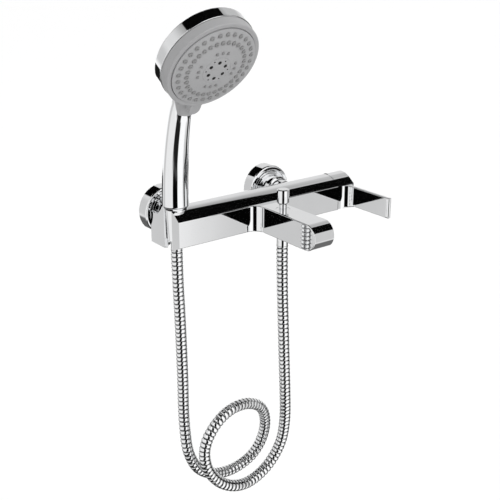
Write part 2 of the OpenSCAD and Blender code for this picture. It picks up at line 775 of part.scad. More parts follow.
module aerator_insert() color("gray") difference() {
    insert_z = -front_drop + 1 + touch;
    rod_z(spout_mid, aerator_y, insert_z, insert_z + 7, aerator_r - 2 - touch);
    for (ring = [0 : 2], k = [0 : max(0, 6 * ring - 1)])
        rotate_about_aerator(k * 60 / max(1, ring), ring * 2.6) cylinder(h = big, r = 0.8, center = true);
}

module rotate_about_aerator(angle, r) {
    translate([spout_mid, aerator_y, 0]) rotate([0, 0, angle]) translate([r, 0, 0]) children();
}

module outlet_nipple() color("goldenrod") difference() {
    union() {
        rod_z(spout_mid, diverter_y, nipple_end, recess_top - touch, nipple_r);
        rod_z(spout_mid, diverter_y, nipple_end, duct_floor + seat_up, valve_r + 0.6 - touch / 2);
    }
    rod_z(spout_mid, diverter_y, nipple_end - 1, duct_floor + seat_up + 1, 5);
}

module gasket(x, y, z) color("dimgray") difference() {
    rod_z(x, y, z, z + gasket_t, flange_r);
    rod_z(x, y, z - 1, z + gasket_t + 1, hose_bore / 2);
}

module outlet_washer() { gasket(spout_mid, diverter_y, outlet_gasket_z); }
module handset_washer() { gasket(hand_x, hand_y, hand_gasket_z); }

module hose_nut() color("gainsboro") difference() {
    rod_z(spout_mid, diverter_y, hose_nut_z, recess_top - 0.5, hose_nut_r);
    rod_z(spout_mid, diverter_y, outlet_flange_z - touch, recess_top + 1, nipple_r + touch);
    rod_z(spout_mid, diverter_y, hose_nut_z - 1, recess_top, ferrule_r + 0.2);
}

module ferrule(x, y, z_hose, z_flange) color("gainsboro") difference() {
    union() {
        rod_z(x, y, z_hose + touch, z_flange + 1, ferrule_r);
        rod_z(x, y, z_flange, z_flange + flange_t, flange_r);
    }
    rod_z(x, y, z_hose - 1, z_flange + flange_t + 1, hose_bore / 2);
}

module outlet_ferrule() { ferrule(spout_mid, diverter_y, outlet_hose_z, outlet_flange_z); }
module handset_ferrule() { ferrule(hand_x, hand_y, hand_hose_z, hand_flange_z); }

// Ribbed outside and smooth bore in one skin
module shower_hose() color("silver") {
    sides = 8;
    last = len(hose_stations) - 1;
    bore_stations = concat([for (i = [0 : bore_step : last - bore_step / 2]) i], [last]);
    outer = [for (i = [0 : last]) each path_ring(hose_stations, i, hose_r - (i % 2) * rib_depth, sides)];
    inner = [for (i = bore_stations) each path_ring(hose_stations, i, hose_bore / 2, sides)];
    inner_first = (last + 1) * sides;
    inner_last = inner_first + (len(bore_stations) - 1) * sides;
    polyhedron(points = concat(outer, inner), faces = concat(
        skin_faces(last + 1, sides, 0, true),
        skin_faces(len(bore_stations), sides, inner_first, false),
        end_faces(0, inner_first, sides, false),
        end_faces(last * sides, inner_last, sides, true)));
}

module cone_nut() color("gainsboro") translate([hand_x, hand_y, 0]) difference() {
    union() {
        translate([0, 0, cone_bottom])
            cylinder(h = ring_low - cone_bottom, r1 = cone_low_d / 2, r2 = cone_top_d / 2);
        translate([0, 0, ring_low])
            cylinder(h = ring_top - ring_low, r1 = cone_top_d / 2, r2 = grip_r - 0.4);
    }
    rod_z(0, 0, hand_flange_z - touch, ring_top + 1, nipple_r + run_fit);
    rod_z(0, 0, cone_bottom - 1, ring_top, ferrule_r + 0.3);
}

// Bent, tapering handle as one sweep
module grip_sweep(extra, first, last) {
    rings = last - first + 1;
    pts = [for (i = [first : last]) each path_ring(grip_path, i, grip_radius(i) + extra, grip_sides)];
    polyhedron(points = pts, faces = concat(
        skin_faces(rings, grip_sides, 0, true),
        cap_faces(0, grip_sides, true),
        cap_faces((rings - 1) * grip_sides, grip_sides, false)));
}

// Back of the head: a rim and a quarter ellipse turned about the spray axis
module head_back() {
    steps = 12;
    rotate_extrude() polygon(concat([[0, rim_front], [head_r, rim_front]],
        [for (i = [0 : steps]) let (a = 90 * i / steps)
            [head_r * cos(a), rim_back - back_bulge * sin(a)]]));
}

// Height and depth of one point of the handle's centre line
function grip_side(i) = [grip_path[i][1], grip_path[i][2]];

module handset_shell() color("gainsboro") difference() {
    union() {
        difference() {
            union() {
                grip_sweep(0, 0, grip_last);
                at_face() head_back();
            }
            at_face() translate([0, 0, chamber_back]) cylinder(h = big, r = head_r - rim_wall);
        }
        at_face() translate([0, 0, chamber_back - 1])
            cylinder(h = plate_back - mat_t - touch - chamber_back + 1, r = post_r);
        rod_z(hand_x, hand_y, grip_z - spigot_len, grip_z + 1, nipple_r);
    }
    rod_z(hand_x, hand_y, 0, grip_path[4][2] + 3, hand_bore_r);
    slant_rod(grip_side(4), grip_side(grip_rings), water_r);
    translate(grip_path[grip_rings]) sphere(r = water_r + 0.8);
    slant_rod(grip_side(grip_rings), grip_side(grip_last - 4), water_r);
    at_face() translate([0, 0, chamber_back]) cylinder(h = big, r = face_screw_r + touch / 2);
}

module flow_limiter() color("dodgerblue") difference() {
    rod_z(hand_x, hand_y, grip_z - spigot_len + 1, grip_z - spigot_len + 4, hand_bore_r - touch / 2);
    rod_z(hand_x, hand_y, 0, grip_z, 2);
}

// Grey saddle on the front of the neck, under the head
module neck_insert() color("darkgray") difference() {
    middle = floor((insert_first + insert_last) / 2);
    grip_sweep(insert_t, insert_first, insert_last);
    grip_sweep(touch, 0, grip_last);
    translate([-big / 2, grip_path[middle][1] - insert_front, -big / 2]) cube([big, big, 2 * big]);
}

module head_seal() color("dimgray") at_face() translate([0, 0, rotor_back - 1.3])
    rotate_extrude() translate([post_r + 1.4, 0]) circle(r = 1.2);

module selector_rotor() color("whitesmoke") at_face() translate([0, 0, rotor_back]) difference() {
    cylinder(h = rotor_t, r = head_r - rim_wall - clear);
    translate([0, 0, -1]) cylinder(h = rotor_t + 2, r = post_r + run_fit);
    for (k = [0 : 5]) rotate([0, 0, 60 * k]) translate([rotor_port_ring, 0, -1])
        cylinder(h = rotor_t + 2, r = 4);
}

module selector_ring() color("darkgray") at_face() {
    in_r = plate_r + clear;
    edge = 0.8;
    rotate_extrude() polygon([[in_r, -ring_t], [ring_r, -ring_t], [ring_r - 0.3, -edge],
        [ring_r - 0.3 - edge, 0], [in_r + edge / 2, 0], [in_r, -edge / 2]]);
    translate([0, 0, lug_front - lug_t]) linear_extrude(height = lug_t) difference() {
        union() {
            translate([-lug_w / 2, -ring_r - lug_out + lug_w / 2]) square([lug_w, lug_out]);
            translate([0, -ring_r - lug_out + lug_w / 2]) circle(d = lug_w);
        }
        circle(r = ring_r - 2);
    }
}

module nozzle_peg(r) {
    translate([0, 0, plate_back - 1]) cylinder(h = big / 10, r = r);
}

// Rubber nozzles: two full rings and four groups of three smaller ones
module nozzle_pegs(extra) {
    for (k = [0 : ring_nozzles - 1]) rotate([0, 0, 360 * k / ring_nozzles]) {
        rotate([0, 0, 180 / ring_nozzles]) translate([outer_ring, 0, 0]) nozzle_peg(nozzle_r + extra);
        translate([inner_ring, 0, 0]) nozzle_peg(nozzle_r + extra);
    }
    for (k = [0 : 3], j = [-1 : 1]) rotate([0, 0, 90 * k + 18 * j])
        translate([group_ring, 0, 0]) nozzle_peg(small_nozzle_r + extra);
}

// Space behind the bulging front of the spray plate
module behind_bulge(extra) {
    translate([0, 0, plate_rise + plate_bulge - plate_sphere]) sphere(r = plate_sphere + extra, $fn = 180);
}

module nozzle_mat() color("gray") at_face() {
    difference() {
        translate([0, 0, plate_back - mat_t]) cylinder(h = mat_t - touch, r = plate_r - 0.6);
        translate([0, 0, plate_back - mat_t - 1]) cylinder(h = mat_t + 2, r = face_screw_r + 0.3);
    }
    intersection() {
        nozzle_pegs(0);
        behind_bulge(nozzle_rise);
    }
}

module spray_plate() color("darkgray") at_face() difference() {
    intersection() {
        translate([0, 0, plate_back]) cylinder(h = big / 10, r = plate_r);
        behind_bulge(0);
    }
    nozzle_pegs(touch);
    translate([0, 0, core_floor]) cylinder(h = big / 10, r = core_r + touch);
    translate([0, 0, plate_back - 1]) cylinder(h = big / 10, r = face_screw_r + 0.3);
}

module face_screw() color("silver") at_face() {
    translate([0, 0, core_floor + touch]) cylinder(h = 2, r = 3.6);
    translate([0, 0, rotor_front]) cylinder(h = core_floor + 1 - rotor_front, r = face_screw_r);
}

module spray_core() color("darkgray") at_face() difference() {
    intersection() {
        translate([0, 0, core_floor + touch]) cylinder(h = big / 10, r = core_r);
        behind_bulge(0);
    }
    translate([0, 0, core_floor]) cylinder(h = 2.4, r = 4.2);
    for (k = [0 : 5]) rotate([0, 0, 60 * k]) {
        rotate([0, 0, 30]) translate([jet_ring, 0, 2.5]) cylinder(h = big / 10, r = jet_r);
        translate([dot_ring, 0, 3.5]) cylinder(h = big / 10, r = dot_r);
    }
}

mixer_body();
left_rosette();
right_rosette();
left_wall_union();
right_wall_union();
left_union_nut();
right_union_nut();
left_inlet_washer();
right_inlet_washer();
cartridge_housing();
cartridge_seals();
fixed_disc();
moving_disc();
disc_carrier();
stem_guide();
pivot_pin();
retaining_nut();
cartridge_cover();
lever();
lever_stem();
grub_screw();
screw_plug();
diverter_bush();
diverter_knob();
diverter_valve();
diverter_seal();
aerator_housing();
aerator_insert();
outlet_nipple();
outlet_washer();
hose_nut();
outlet_ferrule();
shower_hose();
handset_ferrule();
cone_nut();
handset_washer();
handset_shell();
flow_limiter();
neck_insert();
head_seal();
selector_rotor();
selector_ring();
nozzle_mat();
spray_plate();
face_screw();
spray_core();
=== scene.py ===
"""Looks of a wall-mounted bath and shower mixer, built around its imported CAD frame.

The frame is the CAD's: X along the bar, Y into the wall, Z up. Sizes are in millimetres where they are
written down, and become metres when a mesh is made.
"""

import logging
import math
from dataclasses import dataclass
from enum import Enum
from functools import partial
from typing import Callable, Sequence

import bmesh
import bpy
import numpy as np
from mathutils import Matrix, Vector


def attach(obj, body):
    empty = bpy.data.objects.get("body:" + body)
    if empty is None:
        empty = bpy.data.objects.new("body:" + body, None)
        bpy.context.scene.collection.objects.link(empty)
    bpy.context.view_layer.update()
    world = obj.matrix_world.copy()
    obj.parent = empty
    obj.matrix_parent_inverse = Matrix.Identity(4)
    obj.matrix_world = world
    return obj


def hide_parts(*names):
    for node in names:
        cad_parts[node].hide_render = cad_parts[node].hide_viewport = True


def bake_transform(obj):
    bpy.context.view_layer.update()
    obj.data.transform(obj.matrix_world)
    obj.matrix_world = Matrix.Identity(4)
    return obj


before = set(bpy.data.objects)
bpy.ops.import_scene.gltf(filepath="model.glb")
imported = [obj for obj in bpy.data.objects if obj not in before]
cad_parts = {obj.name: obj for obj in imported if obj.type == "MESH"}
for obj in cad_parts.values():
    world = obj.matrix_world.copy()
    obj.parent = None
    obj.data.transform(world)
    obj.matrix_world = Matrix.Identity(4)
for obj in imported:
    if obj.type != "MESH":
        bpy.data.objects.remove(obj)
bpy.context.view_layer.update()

LOG = logging.getLogger("mixer")
# Metres in a millimetre
MM = 0.001
# Faces that lean less than this from each other, in degrees, are joined into one
FLAT_LEAN = 0.3
# Faces that meet at less than this, in degrees, are shaded as one round surface
SMOOTH_ANGLE = 33.0
# A face with less than this share of its neighbour's area is shaded as its rounded edge
FLAT_SHARE = 0.12
# Strips across a rounded edge
EDGE_STEPS = 6
# Loose corners closer than this are joined, in millimetres
WELD = 0.002
# Steps that pull a net's corners onto its field, and the longest of them in millimetres
PULLS = 4
LONGEST_PULL = 1.0
# Least squared slope that a pull is divided by
LEAST_SLOPE = 0.05
# A field's value deep inside, without its sign, in millimetres
FAR = 1e3
# Step on either side of a point for measuring a field's slope, in millimetres
REACH = 0.02
# Keeps a divisor above zero
TINY = 1e-9
# Points closer than this to a cutting plane lie on it, in metres
ON_PLANE = 1e-7
Colour = tuple[float, float, float]
Point = tuple[float, float, float]


class Body(Enum):
    """Rigid bodies of the part that a piece can ride on."""

    MIXER = "mixer"
    GUIDE = "temperature_guide"
    DISC = "mixing_disc"
    LEVER = "lever_unit"
    DIVERTER = "diverter"
    HOSE_END = "hose_end"
    HANDSET = "handset"
    SELECTOR = "selector"


class Slot(Enum):
    """Material slots of the record."""

    CHROME = "chrome"
    PLATED = "plated_plastic"
    BRASS = "brass"
    RUBBER = "rubber"
    STEEL = "steel"
    WHITE = "white_plastic"
    CERAMIC = "ceramic"
    GREY = "grey_plastic"
    NOZZLE = "grey_rubber"
    HOSE = "steel_hose"
    INSERT = "insert_plastic"


def shader_group(name: str, inputs: Sequence[tuple[str, str, object]],
                 outputs: Sequence[tuple[str, str]]) -> bpy.types.ShaderNodeTree:
    """Start a shader node group with named sockets.

    Args:
        name: Name of the group.
        inputs: Name, socket type and default of each input.
        outputs: Name and socket type of each output.

    Returns:
        The new group, with its input and output nodes placed.
    """
    tree = bpy.data.node_groups.new(name, "ShaderNodeTree")
    for label, kind, default in inputs:
        socket = tree.interface.new_socket(label, in_out="INPUT", socket_type=kind)
        socket.default_value = default
    for label, kind in outputs:
        tree.interface.new_socket(label, in_out="OUTPUT", socket_type=kind)
    tree.nodes.new("NodeGroupInput").name = "in"
    tree.nodes.new("NodeGroupOutput").name = "out"
    return tree


def fill(tree: bpy.types.NodeTree, node: bpy.types.Node, **values: object) -> bpy.types.Node:
    """Feed a node's inputs: link the sockets and set the constants.

    Args:
        tree: Tree that holds the node.
        node: The node.
        values: Value of each input by its name, with underscores for spaces.

    Returns:
        The node.
    """
    for label, value in values.items():
        connect(tree, node.inputs[label.replace("_", " ")], value)
    return node


def connect(tree: bpy.types.NodeTree, socket: bpy.types.NodeSocket, value: object) -> None:
    """Link an input to a socket, or set it to a constant.

    Args:
        tree: Tree that holds the input.
        socket: The input.
        value: Socket, number or colour.
    """
    if isinstance(value, bpy.types.NodeSocket):
        tree.links.new(value, socket)
    else:
        socket.default_value = (*value, 1.0) if socket.type == "RGBA" else value


def add_node(tree: bpy.types.NodeTree, kind: str, **values: object) -> bpy.types.Node:
    """Return a new node with its inputs fed."""
    return fill(tree, tree.nodes.new(kind), **values)


def math_node(tree: bpy.types.NodeTree, operation: str, a: object, b: object = 0.0, c: object = 0.0,
              clamp: bool = False) -> bpy.types.NodeSocket:
    """Add a math node.

    Args:
        tree: Tree that takes the node.
        operation: Blender's name of the operation.
        a: First socket or number.
        b: Second socket or number.
        c: Third socket or number.
        clamp: Keep the result between 0 and 1.

    Returns:
        The result's socket.
    """
    node = tree.nodes.new("ShaderNodeMath")
    node.operation = operation
    node.use_clamp = clamp
    for socket, value in zip(node.inputs, (a, b, c)):
        connect(tree, socket, value)
    return node.outputs[0]


def mix_colour(tree: bpy.types.NodeTree, share: bpy.types.NodeSocket, a: object,
               b: object) -> bpy.types.NodeSocket:
    """Mix two colours.

    Args:
        tree: Tree that takes the node.
        share: Socket with the share of the second colour.
        a: First colour or its socket.
        b: Second colour or its socket.

    Returns:
        The mixed colour's socket.
    """
    node = tree.nodes.new("ShaderNodeMix")
    node.data_type = "RGBA"
    for place, value in ((0, share), (6, a), (7, b)):
        connect(tree, node.inputs[place], value)
    return node.outputs[2]


SKIN_OUTPUTS = (("Color", "NodeSocketColor"), ("Roughness", "NodeSocketFloat"),
                ("Height", "NodeSocketFloat"))


def polish_group() -> bpy.types.ShaderNodeTree:
    """Build the group that clouds a polished metal: tint, roughness and a faint waviness.

    Returns:
        The group, made once.
    """
    if "polish" in bpy.data.node_groups:
        return bpy.data.node_groups["polish"]
    tree = shader_group(
        "polish",
        [("Tint", "NodeSocketColor", (0.8, 0.8, 0.8, 1.0)),
         ("Cloud", "NodeSocketColor", (0.7, 0.7, 0.7, 1.0)),
         ("Roughness", "NodeSocketFloat", 0.05), ("Haze", "NodeSocketFloat", 0.04)], SKIN_OUTPUTS)
    given = tree.nodes["in"].outputs
    place = tree.nodes.new("ShaderNodeTexCoord").outputs["Object"]
    cloud = add_node(tree, "ShaderNodeTexNoise", Vector=place, Scale=38.0, Detail=3.0).outputs["Fac"]
    wipe = add_node(tree, "ShaderNodeTexNoise", Vector=place, Scale=420.0, Detail=5.0).outputs["Fac"]
    wave = add_node(tree, "ShaderNodeTexNoise", Vector=place, Scale=26.0, Detail=1.0).outputs["Fac"]
    film = math_node(tree, "SMOOTH_MIN", cloud, 0.62, 0.1)
    smear = math_node(tree, "MULTIPLY", cloud, wipe)
    fill(tree, tree.nodes["out"], Color=mix_colour(tree, film, given["Tint"], given["Cloud"]), Height=wave,
         Roughness=math_node(tree, "MULTIPLY_ADD", smear, given["Haze"], given["Roughness"]))
    return tree


def grain_group() -> bpy.types.ShaderNodeTree:
    """Build the group for moulded plastic and rubber: mottled tint, roughness and a fine grain.

    Returns:
        The group, made once.
    """
    if "moulded_grain" in bpy.data.node_groups:
        return bpy.data.node_groups["moulded_grain"]
    tree = shader_group(
        "moulded_grain",
        [("Tint", "NodeSocketColor", (0.4, 0.4, 0.4, 1.0)),
         ("Shade", "NodeSocketColor", (0.35, 0.35, 0.35, 1.0)),
         ("Grain", "NodeSocketFloat", 1800.0), ("Roughness", "NodeSocketFloat", 0.4)], SKIN_OUTPUTS)
    given = tree.nodes["in"].outputs
    place = tree.nodes.new("ShaderNodeTexCoord").outputs["Object"]
    mottle = add_node(tree, "ShaderNodeTexNoise", Vector=place, Scale=60.0, Detail=4.0).outputs["Fac"]
    pores = add_node(tree, "ShaderNodeTexNoise", Vector=place, Scale=given["Grain"], Detail=2.0)
    fill(tree, tree.nodes["out"], Color=mix_colour(tree, mottle, given["Tint"], given["Shade"]),
         Roughness=math_node(tree, "MULTIPLY_ADD", mottle, 0.12, given["Roughness"]),
         Height=pores.outputs["Fac"])
    return tree


def place_group(tree: bpy.types.ShaderNodeTree, group: bpy.types.ShaderNodeTree,
                **values: object) -> bpy.types.Node:
    """Place a shader group in a material and set its inputs.

    Args:
        tree: The material's tree.
        group: Group to place.
        values: Value of each input by name.

    Returns:
        The group's node.
    """
    node = tree.nodes.new("ShaderNodeGroup")
    node.node_tree = group
    return fill(tree, node, **values)


def link_bump(tree: bpy.types.ShaderNodeTree, height: bpy.types.NodeSocket, shader: bpy.types.Node,
              strength: float, depth: float) -> None:
    """Feed a height into the shader's normal.

    Args:
        tree: The material's tree.
        height: Socket with the height.
        shader: Principled node.
        strength: Strength of the bump.
        depth: Depth of the bump in millimetres.
    """
    bump = add_node(tree, "ShaderNodeBump", Strength=strength, Distance=depth * MM, Height=height)
    tree.links.new(bump.outputs["Normal"], shader.inputs["Normal"])


@dataclass(frozen=True)
class Finish:
    """What every finish has: a name, its material slot and its tint."""

    name: str
    slot: Slot
    tint: Colour

    def material(self) -> bpy.types.Material:
        """Give the finish's material.

        Returns:
            The material, made once.
        """
        if self.name in bpy.data.materials:
            return bpy.data.materials[self.name]
        made = bpy.data.materials.new(self.name)
        made.use_nodes = True
        self.paint(made.node_tree, made.node_tree.nodes["Principled BSDF"])
        return made

    def paint(self, tree: bpy.types.ShaderNodeTree, shader: bpy.types.Node) -> None:
        """Set up the material's shader, which each kind of finish does in its own way.

        Args:
            tree: The material's tree.
            shader: Its Principled node.
        """
        raise NotImplementedError


@dataclass(frozen=True)
class PolishedMetal(Finish):
    """A bare or plated metal with a polish: chrome, brass or steel."""

    cloud: Colour
    roughness: float
    haze: float
    wave: float = 0.02
    wave_depth: float = 0.4

    def paint(self, tree: bpy.types.ShaderNodeTree, shader: bpy.types.Node) -> None:
        """Set up a polished metal, faintly clouded and wavy.

        Args:
            tree: The material's tree.
            shader: Its Principled node.
        """
        polish = place_group(tree, polish_group(), Tint=self.tint, Cloud=self.cloud, Roughness=self.roughness,
                             Haze=self.haze).outputs
        fill(tree, shader, Metallic=1.0, Base_Color=polish["Color"], Roughness=polish["Roughness"])
        link_bump(tree, polish["Height"], shader, self.wave, self.wave_depth)


@dataclass(frozen=True)
class MouldedSurface(Finish):
    """A moulded plastic, rubber or fired ceramic with a fine grain."""

    shade: Colour
    roughness: float
    grain: float = 1800.0
    depth: float = 0.03
    relief: float = 0.25

    def paint(self, tree: bpy.types.ShaderNodeTree, shader: bpy.types.Node) -> None:
        """Set up a mottled surface with a grain.

        Args:
            tree: The material's tree.
            shader: Its Principled node.
        """
        grain = place_group(tree, grain_group(), Tint=self.tint, Shade=self.shade, Grain=self.grain,
                            Roughness=self.roughness).outputs
        fill(tree, shader, Base_Color=grain["Color"], Roughness=grain["Roughness"])
        link_bump(tree, grain["Height"], shader, self.relief, self.depth)


@dataclass(frozen=True)
class RibbedSteel(Finish):
    """The wound steel cover of the hose: duller in the grooves between its ribs, where its colour is also
    darkened to near black as painted shade.
    """

    # Near-black colour of the painted shade in the grooves
    groove: Colour
    roughness: float
    haze: float
    groove_shade_power: float = 1.6
    groove_dulling: float = 0.2

    def paint(self, tree: bpy.types.ShaderNodeTree, shader: bpy.types.Node) -> None:
        """Set up a polished steel with painted shade, near black, where the mesh's groove attribute says so.

        Args:
            tree: The material's tree.
            shader: Its Principled node.
        """
        polish = place_group(tree, polish_group(), Tint=self.tint, Cloud=self.tint, Roughness=self.roughness,
                             Haze=self.haze).outputs
        depth = tree.nodes.new("ShaderNodeAttribute")
        depth.attribute_name = "groove"
        # Painted shade: the colour goes towards near black in the grooves
        deep = math_node(tree, "POWER", depth.outputs["Fac"], self.groove_shade_power, clamp=True)
        fill(tree, shader, Metallic=1.0, Base_Color=mix_colour(tree, deep, polish["Color"], self.groove),
             Roughness=math_node(tree, "MULTIPLY_ADD", deep, self.groove_dulling, polish["Roughness"]))


BRIGHT, FILM = (0.9, 0.905, 0.91), (0.84, 0.845, 0.855)
CHROME = PolishedMetal("chrome_plate", Slot.CHROME, BRIGHT, FILM, 0.03, 0.05)
PLATED = PolishedMetal("chrome_on_plastic", Slot.PLATED, BRIGHT, FILM, 0.035, 0.06)
BRASS = PolishedMetal("machined_brass", Slot.BRASS, (0.78, 0.58, 0.28), (0.66, 0.47, 0.2), 0.2, 0.3)
STEEL = PolishedMetal("machined_steel", Slot.STEEL, (0.62, 0.62, 0.63), (0.5, 0.5, 0.51), 0.22, 0.3)
# The hose's second colour is near-black painted shade for the grooves between its ribs
HOSE_STEEL = RibbedSteel("hose_cover", Slot.HOSE, BRIGHT, (0.05, 0.05, 0.05), 0.03, 0.03)
GREY = MouldedSurface("satin_grey_plastic", Slot.GREY, (0.35, 0.35, 0.355), (0.315, 0.315, 0.32), 0.36)
NOZZLE = MouldedSurface("soft_nozzle_rubber", Slot.NOZZLE, (0.25, 0.25, 0.25), (0.22, 0.22, 0.22), 0.5,
                        1200.0, 0.05)
# Near-black colour painted on the sunk walls of the jets as shade in the recesses
JET_SHADE = MouldedSurface("jet_painted_shade", Slot.NOZZLE, (0.07, 0.07, 0.07), (0.05, 0.05, 0.05), 0.55, 900.0, 0.05)
RUBBER = MouldedSurface("black_rubber", Slot.RUBBER, (0.03, 0.03, 0.03), (0.02, 0.02, 0.02), 0.6, 900.0, 0.06)
WHITE = MouldedSurface("white_plastic", Slot.WHITE, (0.8, 0.8, 0.79), (0.74, 0.74, 0.73), 0.4)
CERAMIC = MouldedSurface("lapped_ceramic", Slot.CERAMIC, (0.88, 0.87, 0.84), (0.84, 0.83, 0.8), 0.15,
                         2500.0, 0.01)
INSERT = MouldedSurface("insert_plastic", Slot.INSERT, (0.62, 0.63, 0.64), (0.55, 0.56, 0.57), 0.45)
FLOOR = MouldedSurface("pale_floor", Slot.WHITE, (0.95, 0.95, 0.95), (0.94, 0.94, 0.94), 0.9, 3.0, 0.1)


def mesh_object(name: str, points: np.ndarray | Sequence[Point],
                faces: Sequence[Sequence[int]]) -> bpy.types.Object:
    """Make a smooth-shaded mesh object from millimetres.

    Args:
        name: Name of the object.
        points: Vertices in millimetres.
        faces: Vertex numbers of each face.

    Returns:
        The new object, linked to the scene.
    """
    mesh = bpy.data.meshes.new(name)
    corners = [tuple(float(x) * MM for x in p) for p in points]
    mesh.from_pydata(corners, [], [tuple(map(int, f)) for f in faces])
    mesh.validate()
    mesh.shade_smooth()
    made = bpy.data.objects.new(name, mesh)
    bpy.context.scene.collection.objects.link(made)
    return made


def baked(source: bpy.types.Object) -> bpy.types.Object:
    """Turn an object's modifiers into a plain mesh.

    Args:
        source: Object whose modifiers are evaluated.

    Returns:
        The same object with the result as its mesh and no modifiers.
    """
    bpy.context.view_layer.update()
    evaluated = source.evaluated_get(bpy.context.evaluated_depsgraph_get())
    mesh = bpy.data.meshes.new_from_object(evaluated)
    source.modifiers.clear()
    source.data = mesh
    mesh.name = source.name
    return source


def finish_piece(piece: bpy.types.Object, finish: Finish, body: Body, *nodes: str) -> bpy.types.Object:
    """Give a new piece its material and body, and hide the CAD nodes that it stands for.

    Args:
        piece: The new piece.
        finish: Its finish.
        body: Body that it rides on.
        nodes: CAD nodes that it replaces.

    Returns:
        The piece.
    """
    piece.data.materials.clear()
    piece.data.materials.append(finish.material())
    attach(piece, body.value)
    if nodes:
        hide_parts(*nodes)
    LOG.info("%s: %d faces", piece.name, len(piece.data.polygons))
    return piece


def dress(**finishes: Finish) -> None:
    """Give CAD nodes that stay their finished materials.

    Args:
        finishes: Finish of each node by the node's name.
    """
    for node, finish in finishes.items():
        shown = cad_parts[node]
        shown.data.materials.clear()
        shown.data.materials.append(finish.material())
        LOG.info("%s: %s", node, finish.name)


def whole_edge(middle: Vector) -> float:
    """Give every edge the full width."""
    return 1.0


def refined(node: str, name: str, finish: Finish, body: Body, edge: float = 0.0, crease: float = 32.0,
            share: Callable[[Vector], float] = whole_edge) -> bpy.types.Object:
    """Make a piece from a CAD node: join its loose triangles, round its edges and finish it.

    Args:
        node: Name of the CAD node.
        name: Name of the new piece.
        finish: Its finish.
        body: Body that it rides on.
        edge: Width of the rounded edges in millimetres, or none.
        crease: Angle in degrees above which an edge is rounded.
        share: Gives an edge's share of the width from its middle in millimetres.

    Returns:
        The new piece, with smooth shading that keeps its flat faces flat.
    """
    work = bmesh.new()
    work.from_mesh(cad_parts[node].data)
    bmesh.ops.remove_doubles(work, verts=work.verts, dist=WELD * MM)
    bmesh.ops.dissolve_limit(work, angle_limit=math.radians(FLAT_LEAN), verts=work.verts, edges=work.edges)
    weight = work.edges.layers.float.new("bevel_weight_edge")
    for line in work.edges:
        if line.calc_face_angle(0.0) > math.radians(crease):
            line[weight] = share((line.verts[0].co + line.verts[1].co) / 2 / MM)
    mesh = bpy.data.meshes.new(name)
    work.to_mesh(mesh)
    work.free()
    mesh.attributes.remove(mesh.attributes["custom_normal"])
    made = bpy.data.objects.new(name, mesh)
    bpy.context.scene.collection.objects.link(made)
    mesh.shade_smooth()
    if edge > 0:
        bevel = made.modifiers.new("edges", "BEVEL")
        bevel.width = edge * MM
        bevel.segments = EDGE_STEPS
        bevel.limit_method = "WEIGHT"
        bevel.miter_outer = "MITER_ARC"
        bevel.use_clamp_overlap = share is whole_edge
        baked(made)
    shade_by_area(made.data, crease)
    return finish_piece(made, finish, body, node)


def shade_by_area(mesh: bpy.types.Mesh, crease: float) -> None:
    """Shade a mesh so that its large faces look flat and the narrow ones beside them look rounded.

    Args:
        mesh: The mesh.
        crease: Angle in degrees above which a narrow face is shaded apart from a large one.
    """
    normals = np.array([f.normal for f in mesh.polygons])
    areas = np.array([f.area for f in mesh.polygons])
    around: list[list[int]] = [[] for _ in mesh.vertices]
    for f in mesh.polygons:
        for v in f.vertices:
            around[v].append(f.index)
    corners = np.empty((len(mesh.loops), 3))
    for f in mesh.polygons:
        for loop, v in zip(f.loop_indices, f.vertices):
            beside = np.array(around[v])
            close = normals[beside] @ normals[f.index]
            share = areas[beside] / f.area
            narrow = (share < FLAT_SHARE) | (share > 1 / FLAT_SHARE)
            beside = beside[(close > math.cos(math.radians(SMOOTH_ANGLE)))
                            | narrow & (close > math.cos(math.radians(crease)))]
            total = (normals[beside] * areas[beside, None] ** 3).sum(0)
            corners[loop] = total / np.linalg.norm(total)
    mesh.normals_split_custom_set([tuple(n) for n in corners])


@dataclass
class PhotoCamera:
    """Camera that stands where the photograph was taken from."""

    position: Point = (-603.4, -871.2, 323.3)
    target: Point = (55.93, 0.0, -82.54)
    focal_px: float = 912.06
    frame_px: float = 500.0
    sensor: float = 36.0
    sight: float = 100000.0

    def build(self) -> bpy.types.Object:
        """Make the camera and put it in use.

        Returns:
            The camera's object.
        """
        lens = bpy.data.cameras.new("photo_camera")
        lens.sensor_width = self.sensor
        lens.lens = self.focal_px / self.frame_px * self.sensor
        lens.clip_end = self.sight * MM
        camera = bpy.data.objects.new("photo_camera", lens)
        bpy.context.scene.collection.objects.link(camera)
        camera.location = Vector(self.position) * MM
        aim = (Vector(self.target) - Vector(self.position)).to_track_quat("-Z", "Y")
        camera.rotation_euler = aim.to_euler()
        bpy.context.scene.camera = camera
        return camera


@dataclass(frozen=True)
class StudioCard:
    """A card of the studio that polished surfaces mirror.

    Angles are in degrees: the azimuth runs from +X towards +Y, the height from the horizon up.
    """

    azimuth: float
    half_width: float
    low: float
    high: float
    level: float
    soft: float = 0.7


